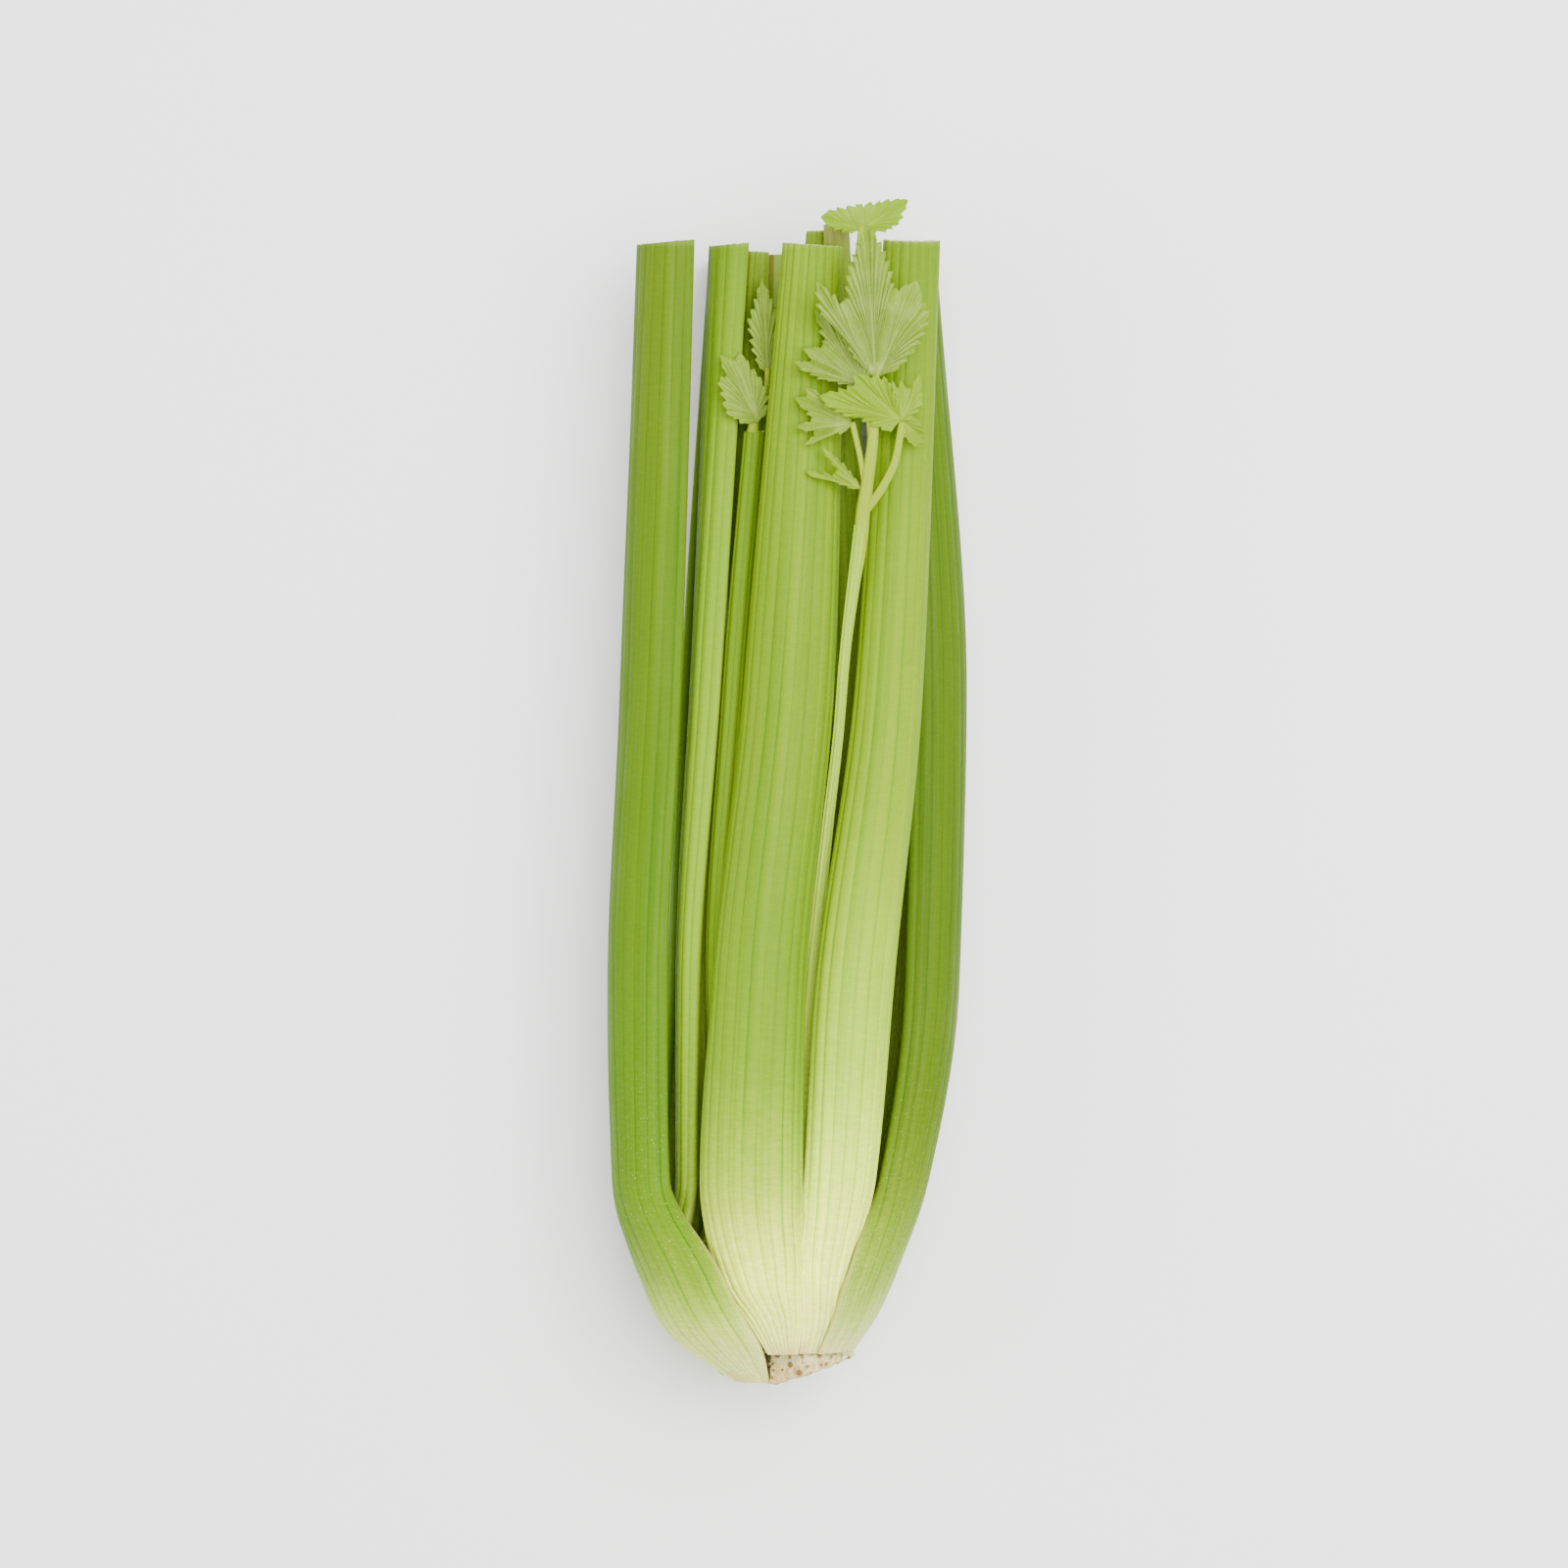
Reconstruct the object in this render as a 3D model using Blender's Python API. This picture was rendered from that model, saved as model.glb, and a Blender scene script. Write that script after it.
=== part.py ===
"""A head of celery that lies on its back: separate stalks round a cut butt, with leafy stalks in its heart.

Sizes are in millimetres until the meshes are made. The head's own frame has +Y from the butt to the cut
tops, +X to the right and +Z up, with the floor at z = 0. Every stalk is a loft of crescent sections, each on
a plane of constant y, so that neighbours can be kept apart section by section.
"""
import math
import random

import bpy
import numpy as np

MM = 0.001

# The stalk bases stand in rings round this axis, and the outermost ring follows the head's rounded base.
BASE_X = -6.0
BASE_Z = 36.0
RING_LEVELS = (0.0, 0.8, 2.0, 4.0, 9.0, 16.0, 29.0)
RING_RADII = (6.5, 9.5, 13.5, 18.0, 23.8, 29.0, 35.2)
RING_TOP = 29.0

# Stalks hold this distance from each other, and the butt holds its own from the stalks.
STALK_GAP = 0.9
BUTT_GAP = 0.9

# Half of the free stalk's arc, and how deep its section is against its half width.
FREE_HALF_ANGLE = math.radians(95)
FREE_DEPTH = 0.86

RIB_HEIGHT = 0.55
POINTS_PER_RIB = 2

# How much thinner the wall is at a section's edges: more at the base, where the edges tuck under each other.
EDGE_THINNING = ((0.0, 0.75), (34.0, 0.75), (62.0, 0.42), (330.0, 0.42))

SHARED_LEVELS = (
    0.8, 2.0, 5.0, 7.0, 9.5, 14.5, 20.0, 29.0, 36.0, 39.5, 43.0, 46.5, 50.0, 57.0, 72.0, 95.0, 125.0,
    152.0, 180.0, 204.0, 250.0,
)

# start: the level of the base. inset: how far its crown stands inside the outermost ring. curl: the base's
# radius of curvature against that of its ring. base: direction and half span at the start and the ring's top.
# keys: level, crown x, crown z and the direction that the crown faces. radii: half widths at the same levels.
STALKS = {
    "stalk_left": dict(
        inset=0.0, base_wall=6.7, curl=1.0, start=0.8, base=((140, 56), (150.5, 43)), ribs=10, wall=(6.6, 5.4),
        keys=((57, -47.0, 46.0, 150), (110, -48.2, 46.0, 150), (190, -44.6, 46.0, 147),
              (314, -39.6, 44.0, 143)),
        radii=(12.6, 12.2, 12.0, 10.8),
    ),
    "stalk_right": dict(
        inset=0.0, base_wall=6.7, curl=1.0, start=9.5, base=((18, 36), (18, 35)), ribs=10, wall=(6.4, 5.2),
        keys=((57, 37.8, 40.5, 22), (110, 46.0, 40.0, 24), (190, 47.8, 38.0, 26), (311, 39.6, 33.0, 30)),
        radii=(12.2, 12.0, 11.8, 9.0),
    ),
    "stalk_back_left": dict(
        inset=0.0, base_wall=6.7, curl=1.0, start=2.0, base=((234, 37), (234, 37)), ribs=10, wall=(6.4, 5.2),
        keys=((57, -31.0, 5.8, 234), (110, -27.5, 1.6, 240), (190, -23.0, 0.4, 247), (313, -16.0, 0.2, 255)),
        radii=(12.2, 12.2, 11.6, 8.4),
    ),
    "stalk_back_right": dict(
        inset=0.0, base_wall=6.7, curl=1.0, start=5.0, base=((307, 34), (307, 34)), ribs=10, wall=(6.4, 5.2),
        keys=((57, 24.5, 7.6, 310), (110, 32.5, 2.8, 305), (190, 35.5, 1.4, 300), (315, 34.5, 0.4, 292)),
        radii=(12.2, 12.2, 11.6, 9.0),
    ),
    "stalk_front": dict(
        inset=2.0, base_wall=5.6, curl=0.43, start=9.5, base=((78, 24), (92, 52)), ribs=11, wall=(6.8, 5.2),
        keys=((57, -11.0, 70.0, 94), (110, -8.9, 71.0, 94), (190, -0.5, 69.0, 92), (312.5, 6.8, 62.0, 88)),
        radii=(14.4, 13.0, 12.5, 8.4),
    ),
    "stalk_back": dict(
        inset=7.4, base_wall=6.4, curl=1.0, start=7.0, base=((272, 36), (272, 36)), ribs=10, wall=(6.2, 5.2),
        keys=((57, -2.5, 0.6, 273), (110, 2.5, -0.9, 271), (190, 4.0, -0.9, 270), (314, 3.0, -0.4, 270)),
        radii=(11.4, 11.8, 11.6, 8.8),
    ),
    "stalk_side_left": dict(
        inset=7.4, base_wall=6.4, curl=1.0, start=7.0, base=((190, 34), (190, 34)), ribs=8, wall=(5.4, 4.6),
        keys=((57, -31.0, 41.0, 190), (110, -31.2, 42.5, 188), (190, -27.5, 43.0, 178),
              (313.5, -21.6, 42.0, 162)),
        radii=(9.0, 8.8, 9.4, 9.4),
    ),
    "stalk_front_right": dict(
        inset=2.4, base_wall=5.0, curl=0.31, start=9.5, base=((50, 40), (57, 46)), ribs=9, wall=(6.0, 5.0),
        keys=((57, 16.4, 62.0, 70), (110, 20.0, 66.0, 76), (190, 28.9, 65.0, 77), (313.5, 34.6, 59.0, 81)),
        radii=(10.8, 11.2, 9.7, 8.0),
    ),
    "inner_front": dict(
        inset=14.8, base_wall=6.0, curl=1.0, start=14.5, base=((128, 34), (128, 34)), ribs=6, wall=(4.6, 2.8),
        keys=((57, -10.6, 54.0, 110), (110, -7.0, 53.5, 102), (190, 0.5, 51.0, 98), (317.5, 7.8, 44.0, 96)),
        radii=(7.0, 6.8, 6.2, 3.4),
    ),
    "inner_left": dict(
        inset=14.8, base_wall=6.0, curl=1.0, start=14.5, base=((204, 34), (204, 34)), ribs=6, wall=(4.6, 2.8),
        keys=((57, -22.0, 31.0, 185), (110, -20.5, 32.6, 170), (190, -16.5, 36.0, 140),
              (312, -9.4, 42.0, 100)),
        radii=(7.2, 7.0, 6.2, 3.6),
    ),
    "inner_back": dict(
        inset=14.8, base_wall=6.0, curl=1.0, start=14.5, base=((284, 34), (284, 34)), ribs=6, wall=(4.6, 3.4),
        keys=((57, -2.0, 20.5, 280), (110, 3.0, 19.0, 278), (190, 10.0, 18.0, 276), (311, 18.0, 17.0, 272)),
        radii=(7.4, 7.2, 6.6, 5.2),
    ),
    "inner_right": dict(
        inset=22.2, base_wall=5.0, curl=1.0, start=20.0, base=((-10, 40), (-10, 40)), ribs=5, wall=(4.2, 2.8),
        keys=((57, 11.0, 38.0, 10), (110, 17.5, 42.0, 35), (190, 19.0, 45.5, 60), (319, 13.2, 48.5, 86)),
        radii=(5.8, 6.4, 6.0, 3.6),
    ),
    "heart_left": dict(
        inset=22.2, base_wall=5.0, curl=1.0, start=20.0, base=((170, 40), (170, 40)), ribs=4, wall=(3.2, 2.6),
        keys=((57, -16.6, 44.2, 135), (80, -20.2, 47.4, 122), (110, -20.6, 50.4, 110),
              (190, -16.0, 50.0, 105),
              (262, -9.8, 49.0, 96)),
        radii=(3.4, 3.4, 3.5, 3.3, 3.0),
    ),
    "heart_leafy": dict(
        inset=22.2, base_wall=5.0, curl=1.0, start=20.0, base=((70, 34), (70, 34)), ribs=4, wall=(3.0, 2.6),
        keys=((57, 2.4, 48.0, 75), (110, 6.2, 54.0, 85), (152, 10.4, 56.4, 86), (180, 13.6, 60.0, 88),
              (200, 15.2, 63.4, 88), (236, 19.8, 67.4, 90)),
        radii=(3.4, 2.2, 1.8, 1.6, 1.6, 2.2),
    ),
}
# A stalk gives way to those before it in this order.
PRESS_ORDER = (
    "stalk_left", "stalk_right", "stalk_back_left", "stalk_back_right", "stalk_front", "stalk_front_right",
    "stalk_back", "stalk_side_left", "inner_front", "inner_left", "inner_back", "inner_right",
    "heart_left", "heart_leafy",
)

# The butt: its middle as x and z, its reach, the level where it narrows to a neck inside the stalks, the neck's
# middle, and the slope of the cut face, which rises to the right of this x.
BUTT_MIDDLE = (4.0, 38.0)
BUTT_REACH = 13.0
BUTT_NECK_LEVEL = 9.5
BUTT_NECK_MIDDLE = (-5.0, 36.0)
BUTT_SLOPE = 0.33
BUTT_SLOPE_X = -4.0
BUTT_POINTS = 32

# Leaf blades: each shape lists where its edge is, as degrees clockwise from the blade's own axis and the reach
# there against the blade's length. It is greatest at a lobe's tip and least in a notch and beside the base.
SHAPES = {
    "three_lobed": (
        (-41, 0.12), (-37, 0.60), (-28, 0.74), (-19, 0.55), (-9, 0.80), (0, 1.0), (8, 0.82),
        (15, 0.60), (26, 0.69), (39, 0.58), (47, 0.50), (58, 0.32), (68, 0.13),
    ),
    "cupped": (
        (-60, 0.18), (-20, 0.45), (-14, 0.66), (-9, 0.84), (0, 1.0), (14, 0.80),
        (21, 0.71), (28, 0.79), (38, 0.69), (57, 0.54), (66, 0.14),
    ),
    "left_lobed": (
        (-54, 0.14), (-47, 0.60), (-36, 0.82), (-30, 0.66), (-24, 0.80),
        (-12, 0.66), (0, 1.0), (12, 0.74), (30, 0.54), (58, 0.14),
    ),
    "many_lobed": (
        (-64, 0.14), (-56, 0.50), (-46, 0.82), (-37, 0.62), (-26, 0.88), (-16, 0.66),
        (0, 1.0), (7, 0.84), (14, 0.94), (24, 0.66), (58, 0.16),
    ),
    "blunt": (
        (-68, 0.14), (-60, 0.36), (-44, 0.50), (-30, 0.60), (-17, 0.79), (-9, 0.80),
        (0, 1.0), (8, 0.88), (15, 0.94), (24, 0.72), (50, 0.38), (70, 0.14),
    ),
    "slim": ((-44, 0.12), (-26, 0.42), (-19, 0.60), (-10, 0.74), (0, 1.0), (9, 0.76), (18, 0.58), (40, 0.12)),
    "forked": (
        (-16, 0.14), (-8, 0.84), (0, 1.0), (7, 0.72), (14, 0.52),
        (21, 0.78), (28, 1.0), (35, 0.72), (48, 0.14),
    ),
    "half_open": (
        (-118, 0.16), (-108, 0.48), (-88, 0.34), (-58, 0.40), (-30, 0.52), (-12, 0.78),
        (0, 1.0), (10, 0.86), (20, 0.74), (32, 0.62), (42, 0.46), (60, 0.14),
    ),
}
BLADE_THICKNESS = 0.65
BLADE_RINGS = 2
TOOTH_SHARE = 0.12

# Each blade: shape, base, tip, roll about its length in degrees, fold, droop towards the tip, and seed.
# Each petiole: a path with a radius at every point.
LEAF_NODES = {
    "leaves_front": dict(
        petioles=(
            (
                (19.9, 237.4, 65.8, 2.0), (21.2, 247.0, 68.0, 1.8), (22.8, 260.0, 70.4, 1.5),
                (23.6, 277.0, 71.2, 0.9),
            ),
            (
                (20.6, 239.6, 66.3, 1.3), (25.6, 246.6, 67.8, 1.2), (29.0, 254.0, 69.2, 1.1),
                (30.7, 264.0, 70.4, 1.0),
            ),
            (
                (22.6, 262.0, 69.6, 1.1), (20.8, 284.0, 66.0, 1.0), (18.6, 303.0, 60.5, 1.0),
                (19.9, 318.4, 58.0, 0.9),
            ),
            ((22.4, 258.0, 70.0, 1.0), (21.6, 266.0, 70.6, 0.8), (20.9, 274.6, 70.4, 0.8)),
            ((21.0, 245.0, 67.7, 1.0), (19.4, 254.0, 69.2, 0.8), (17.2, 263.8, 69.9, 0.8)),
        ),
        blades=(
            ("three_lobed", (23.6, 275.0, 71.2), (20.8, 317.3, 69.0), 4, 0.1, 0.03, 1),
            ("left_lobed", (21.0, 273.4, 70.2), (6.5, 294.6, 67.8), -6, 0.12, -0.025, 2),
            ("cupped", (30.8, 264.2, 71.6), (8.0, 270.5, 73.2), -12, 0.2, -0.03, 3),
            ("left_lobed", (30.4, 263.8, 70.4), (36.4, 276.6, 72.0), 14, 0.2, -0.08, 4),
            ("many_lobed", (17.4, 263.0, 69.8), (1.0, 270.5, 68.9), -8, 0.12, -0.02, 5),
            ("blunt", (30.6, 265.0, 69.9), (37.3, 257.6, 67.4), 6, 0.18, -0.05, 6),
            ("forked", (19.8, 245.6, 67.9), (4.3, 250.8, 68.3), -8, 0.16, -0.02, 7),
            ("half_open", (20.0, 316.8, 58.2), (32.6, 326.0, 57.0), -8, 0.16, -0.06, 9),
        ),
    ),
    "leaves_left": dict(
        petioles=(
            ((-9.9, 263.2, 47.6, 1.5), (-9.2, 271.0, 49.6, 1.1)),
            ((-9.4, 266.0, 48.4, 1.1), (-6.4, 272.0, 48.8, 0.9), (-5.8, 279.6, 49.2, 0.8)),
        ),
        blades=(
            ("blunt", (-8.4, 264.6, 49.8), (-17.8, 282.8, 54.8), 10, 0.14, -0.05, 11),
            ("slim", (-5.8, 277.3, 49.2), (-7.2, 304.1, 50.6), 4, 0.1, -0.03, 12),
        ),
    ),
}
PETIOLE_SIDES = 6

COLOURS = {
    "butt": (0.60, 0.50, 0.32),
    "stalk": (0.30, 0.44, 0.07),
    "inner": (0.42, 0.52, 0.15),
    "heart": (0.52, 0.60, 0.24),
    "leaves": (0.34, 0.46, 0.06),
}


def key_curve(levels, values, y):
    """The monotone cubic through (levels, values) at y, level past the ends. A value is a number or a tuple."""
    levels = np.asarray(levels, float)
    values = np.asarray(values, float).reshape(len(levels), -1)
    steps = np.diff(levels)[:, None]
    chords = np.diff(values, axis=0) / steps
    slopes = np.zeros_like(values)
    same = chords[:-1] * chords[1:] > 0
    slopes[1:-1][same] = (2 * chords[:-1] * chords[1:])[same] / (chords[:-1] + chords[1:])[same]
    slopes[0] = chords[0]
    slopes[-1] = chords[-1]
    y = float(np.clip(y, levels[0], levels[-1]))
    i = int(np.clip(np.searchsorted(levels, y) - 1, 0, len(levels) - 2))
    span = steps[i, 0]
    t = (y - levels[i]) / span
    found = (2 * t**3 - 3 * t**2 + 1) * values[i] + (t**3 - 2 * t**2 + t) * span * slopes[i]
    found = found + (3 * t**2 - 2 * t**3) * values[i + 1] + (t**3 - t**2) * span * slopes[i + 1]
    return found if len(found) > 1 else float(found[0])


def heading(degrees):
    """The unit vector (x, z) at this many degrees from +X towards +Z."""
    return np.array([math.cos(math.radians(degrees)), math.sin(math.radians(degrees))])


def section_form(stalk, y):
    """Crown point, the way it faces, half width, depth share, half angle and wall of a stalk at level y."""
    start = stalk["start"]
    base_levels = [start, 0.5 * (start + RING_TOP), RING_TOP]
    (theta_low, span_low), (theta_high, span_high) = stalk["base"]
    thetas = [theta_low, 0.5 * (theta_low + theta_high), theta_high]
    spans = [math.radians(s) for s in (span_low, 0.5 * (span_low + span_high), span_high)]
    reaches = [key_curve(RING_LEVELS, RING_RADII, b) - stalk["inset"] for b in base_levels]
    base_radii = [stalk["curl"] * r for r in reaches]
    base_crowns = [(BASE_X + r * heading(t)[0], BASE_Z + r * heading(t)[1]) for r, t in zip(reaches, thetas)]
    keys = stalk["keys"]
    free_levels = [k[0] for k in keys]
    levels = base_levels + free_levels
    crown = key_curve(levels, base_crowns + [(k[1], k[2]) for k in keys], y)
    facing = key_curve(levels, thetas + [k[3] for k in keys], y)
    rise = 0.4 * base_radii[2] + 0.6 * stalk["radii"][0]
    radius = key_curve(base_levels + [43.0] + free_levels, base_radii + [rise, *stalk["radii"]], y)
    arcs = [2 * s * r for s, r in zip(spans, base_radii)]
    arcs.append(2 * 0.92 * FREE_HALF_ANGLE * stalk["radii"][0])
    arcs.extend(2 * FREE_HALF_ANGLE * r for r in stalk["radii"][1:])
    angle = min(key_curve(levels, arcs, y) / (2 * radius), 1.1 * FREE_HALF_ANGLE)
    depth = key_curve([0.0, RING_TOP, free_levels[0], 330.0], [1.0, 1.0, FREE_DEPTH, FREE_DEPTH], y)
    wall_base = stalk["base_wall"]
    wall_low, wall_top = stalk["wall"]
    walls = [0.8 * wall_base, wall_base, wall_base, wall_low, 0.95 * wall_low, wall_top]
    wall = key_curve(base_levels + [free_levels[0], free_levels[1], free_levels[-1]], walls, y)
    return crown, facing, radius, depth, angle, wall


def stalk_section(stalk, y):
    """The closed crescent outline of a stalk at level y: the ribbed outside, then the plain inside."""
    crown, facing, radius, depth, angle, wall = section_form(stalk, y)
    normal = heading(facing)
    across = heading(facing + 90)
    centre = crown - radius * depth * normal
    share = np.linspace(-1, 1, stalk["ribs"] * POINTS_PER_RIB + 1)
    ridge = np.abs(np.sin(np.pi * (share * 0.5 + 0.5) * stalk["ribs"])) ** 0.7
    outside_radius = radius + RIB_HEIGHT * (ridge - 1)
    turn = share * angle
    outside = centre + (outside_radius * np.sin(turn))[:, None] * across
    outside = outside + (outside_radius * depth * np.cos(turn))[:, None] * normal
    share = np.linspace(1, -1, max(5, int(stalk["ribs"] * 0.7)))
    turn = share * angle * 0.97
    thinning = key_curve([k[0] for k in EDGE_THINNING], [k[1] for k in EDGE_THINNING], y)
    wall_here = wall * (1 - thinning * np.abs(share) ** 3)
    inside_radius = np.maximum(radius - wall_here, 0.25 * radius)
    inside_depth = np.maximum(radius * depth - wall_here, 0.15 * radius * depth)
    inside = centre + (inside_radius * np.sin(turn))[:, None] * across
    inside = inside + (inside_depth * np.cos(turn))[:, None] * normal
    return np.vstack([outside, inside])


def nearest_on(outline, points):
    """For each point: the nearest place on the outline, its edge, the distance, and whether it is inside."""
    start = outline
    end = np.roll(outline, -1, axis=0)
    edge = end - start
    offset = points[:, None, :] - start[None]
    t = (offset * edge[None]).sum(2) / np.maximum((edge**2).sum(1), 1e-9)[None]
    near = start[None] + np.clip(t, 0, 1)[:, :, None] * edge[None]
    distance = np.linalg.norm(points[:, None, :] - near, axis=2)
    pick = distance.argmin(1)
    rows = np.arange(len(points))
    above = (start[None, :, 1] > points[:, None, 1]) != (end[None, :, 1] > points[:, None, 1])
    rise = np.where(np.abs(edge[:, 1]) < 1e-9, 1e-9, edge[:, 1])
    crossing = start[None, :, 0] + (points[:, None, 1] - start[None, :, 1]) * edge[None, :, 0] / rise[None]
    inside = ((above & (points[:, None, 0] < crossing)).sum(1) % 2) == 1
    return near[rows, pick], pick, distance[rows, pick], inside


def pressed(outline, others, gap):
    """The outline with each part that comes within the gap of another outline moved off it."""
    outline = outline.copy()
    for _ in range(4):
        for other in others:
            near, _, distance, inside = nearest_on(other, outline)
            signed = np.where(inside, -distance, distance)
            away = (outline - near) * np.where(inside, -1.0, 1.0)[:, None]
            away = away / np.maximum(distance, 1e-6)[:, None]
            close = signed < gap
            outline[close] = near[close] + gap * away[close]
            near, edges, distance, inside = nearest_on(outline, other)
            for k in np.nonzero(np.where(inside, -distance, distance) < gap)[0]:
                toward = (other[k] - near[k]) / max(distance[k], 1e-6)
                step = (distance[k] + gap) * toward if inside[k] else (distance[k] - gap) * toward
                for end in (edges[k], (edges[k] + 1) % len(outline)):
                    outline[end] = outline[end] + step
    return outline


def levels_of(stalk):
    top = stalk["keys"][-1][0]
    return [y for y in SHARED_LEVELS if stalk["start"] <= y < top - 15] + [top]


def sections_at(y):
    """The outlines of the stalks that reach level y, kept apart and on the floor."""
    found = {}
    for name in PRESS_ORDER:
        stalk = STALKS[name]
        if stalk["start"] <= y + 1e-6 and y <= stalk["keys"][-1][0] + 1e-6:
            outline = pressed(stalk_section(stalk, y), list(found.values()), STALK_GAP)
            outline[:, 1] = np.maximum(outline[:, 1], 0.0)
            found[name] = outline
    return found


def mesh_object(name, points, faces, material, shift):
    """A mesh object from points in millimetres, moved by the shift."""
    mesh = bpy.data.meshes.new(name)
    mesh.from_pydata([tuple((np.asarray(p) + shift) * MM) for p in points], [], faces)
    mesh.materials.append(material)
    mesh.validate()
    obj = bpy.data.objects.new(name, mesh)
    bpy.context.scene.collection.objects.link(obj)
    return obj


def loft(outlines):
    """Points and faces of the closed solid through equal outlines, which run round the same way."""
    count = len(outlines[0])
    points = [p for outline in outlines for p in outline]
    faces = [tuple(range(count)), tuple(reversed(range(len(points) - count, len(points))))]
    for row in range(len(outlines) - 1):
        for k in range(count):
            a = row * count + k
            b = row * count + (k + 1) % count
            faces.append((a, a + count, b + count, b))
    return points, faces


def faced_out(points, faces):
    """The faces, all turned round if they enclose a negative volume."""
    points = np.asarray(points, float)
    volume = 0.0
    for face in faces:
        for k in range(1, len(face) - 1):
            volume += float(np.dot(points[face[0]], np.cross(points[face[k]], points[face[k + 1]])))
    return faces if volume > 0 else [tuple(reversed(face)) for face in faces]


def stalk_solid(name, cache):
    outlines = []
    for y in levels_of(STALKS[name]):
        if y not in cache:
            cache[y] = sections_at(y)
        outline = cache[y][name]
        outlines.append(np.column_stack([outline[:, 0], np.full(len(outline), y), outline[:, 1]]))
    points, faces = loft(outlines)
    return points, faced_out(points, faces)


def butt_outline(middle, stalk_outlines, reach):
    """Points (x, z) round the middle: out to the ragged reach, or to the nearest stalk base on the way."""
    middle = np.array(middle)
    outline = []
    for k in range(BUTT_POINTS):
        turn = 2 * math.pi * k / BUTT_POINTS
        ray = np.array([math.cos(turn), math.sin(turn)])
        ragged = 1 + 0.05 * math.sin(5 * turn + 1.0) + 0.03 * math.sin(9 * turn)
        steps = np.arange(2.0, reach * ragged, 0.25)
        trail = middle + steps[:, None] * ray
        blocked = np.zeros(len(steps), bool)
        for other in stalk_outlines:
            _, _, distance, inside = nearest_on(other, trail)
            blocked |= inside | (distance < BUTT_GAP)
        r = steps[max(int(blocked.argmax()) - 1, 0)] if blocked.any() else reach * ragged
        outline.append(middle + r * ray)
    return np.array(outline)


def bases_between(low, high):
    """The outlines, at each shared level from low to high, of the stalks that start before the top one."""
    found = []
    for y in SHARED_LEVELS:
        if low <= y <= high:
            found += [outline for name, outline in sections_at(y).items() if STALKS[name]["start"] < high]
    return found


def butt_solid():
    """The cut root plate, with a stepped neck inside the stalk bases that start above it."""
    plate = butt_outline(BUTT_MIDDLE, bases_between(0.0, BUTT_NECK_LEVEL), BUTT_REACH)
    face_level = BUTT_SLOPE * np.maximum(plate[:, 0] - BUTT_SLOPE_X, 0.0)
    middle = np.array(BUTT_MIDDLE)
    layers = [(middle + 0.9 * (plate - middle), face_level), (plate, face_level + 1.2)]
    layers.append((plate, np.full(len(plate), BUTT_NECK_LEVEL - 0.45)))
    steps = [y for y in SHARED_LEVELS if y >= BUTT_NECK_LEVEL][:3]
    for low, high in zip(steps, steps[1:]):
        neck = butt_outline(BUTT_NECK_MIDDLE, bases_between(low, high), BUTT_REACH)
        layers.append((neck, np.full(len(neck), low - 0.25)))
        layers.append((neck, np.full(len(neck), high - 0.45)))
    outlines = [np.column_stack([flat[:, 0], levels, flat[:, 1]]) for flat, levels in layers]
    points, faces = loft(outlines)
    return points, faced_out(points, faces)


def tube(path, sides):
    """A closed tube along (x, y, z, radius) points, with both ends capped."""
    places = np.array([p[:3] for p in path], float)
    points = []
    for k, p in enumerate(path):
        before = places[max(k - 1, 0)]
        after = places[min(k + 1, len(path) - 1)]
        along = (after - before) / np.linalg.norm(after - before)
        side = np.cross(along, (0.0, 0.0, 1.0))
        side = side / np.linalg.norm(side)
        up = np.cross(side, along)
        for j in range(sides):
            turn = 2 * math.pi * j / sides
            points.append(places[k] + p[3] * (math.cos(turn) * side + math.sin(turn) * up))
    outlines = [points[k * sides:(k + 1) * sides] for k in range(len(path))]
    points, faces = loft(outlines)
    return points, faced_out(points, faces)


def toothed_edge(shape, length, rng):
    """The blade's edge as (angle, reach): the points of its shape, with a tooth's notch between each two."""
    keys = [(math.radians(degrees), reach * length) for degrees, reach in shape]
    edge = [keys[0]]
    for (turn, reach), (next_turn, next_reach) in zip(keys, keys[1:]):
        notch = (1 - TOOTH_SHARE * rng.uniform(0.7, 1.3)) * 0.5 * (reach + next_reach)
        edge += [(0.5 * (turn + next_turn), notch), (next_turn, next_reach)]
    return edge


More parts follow.
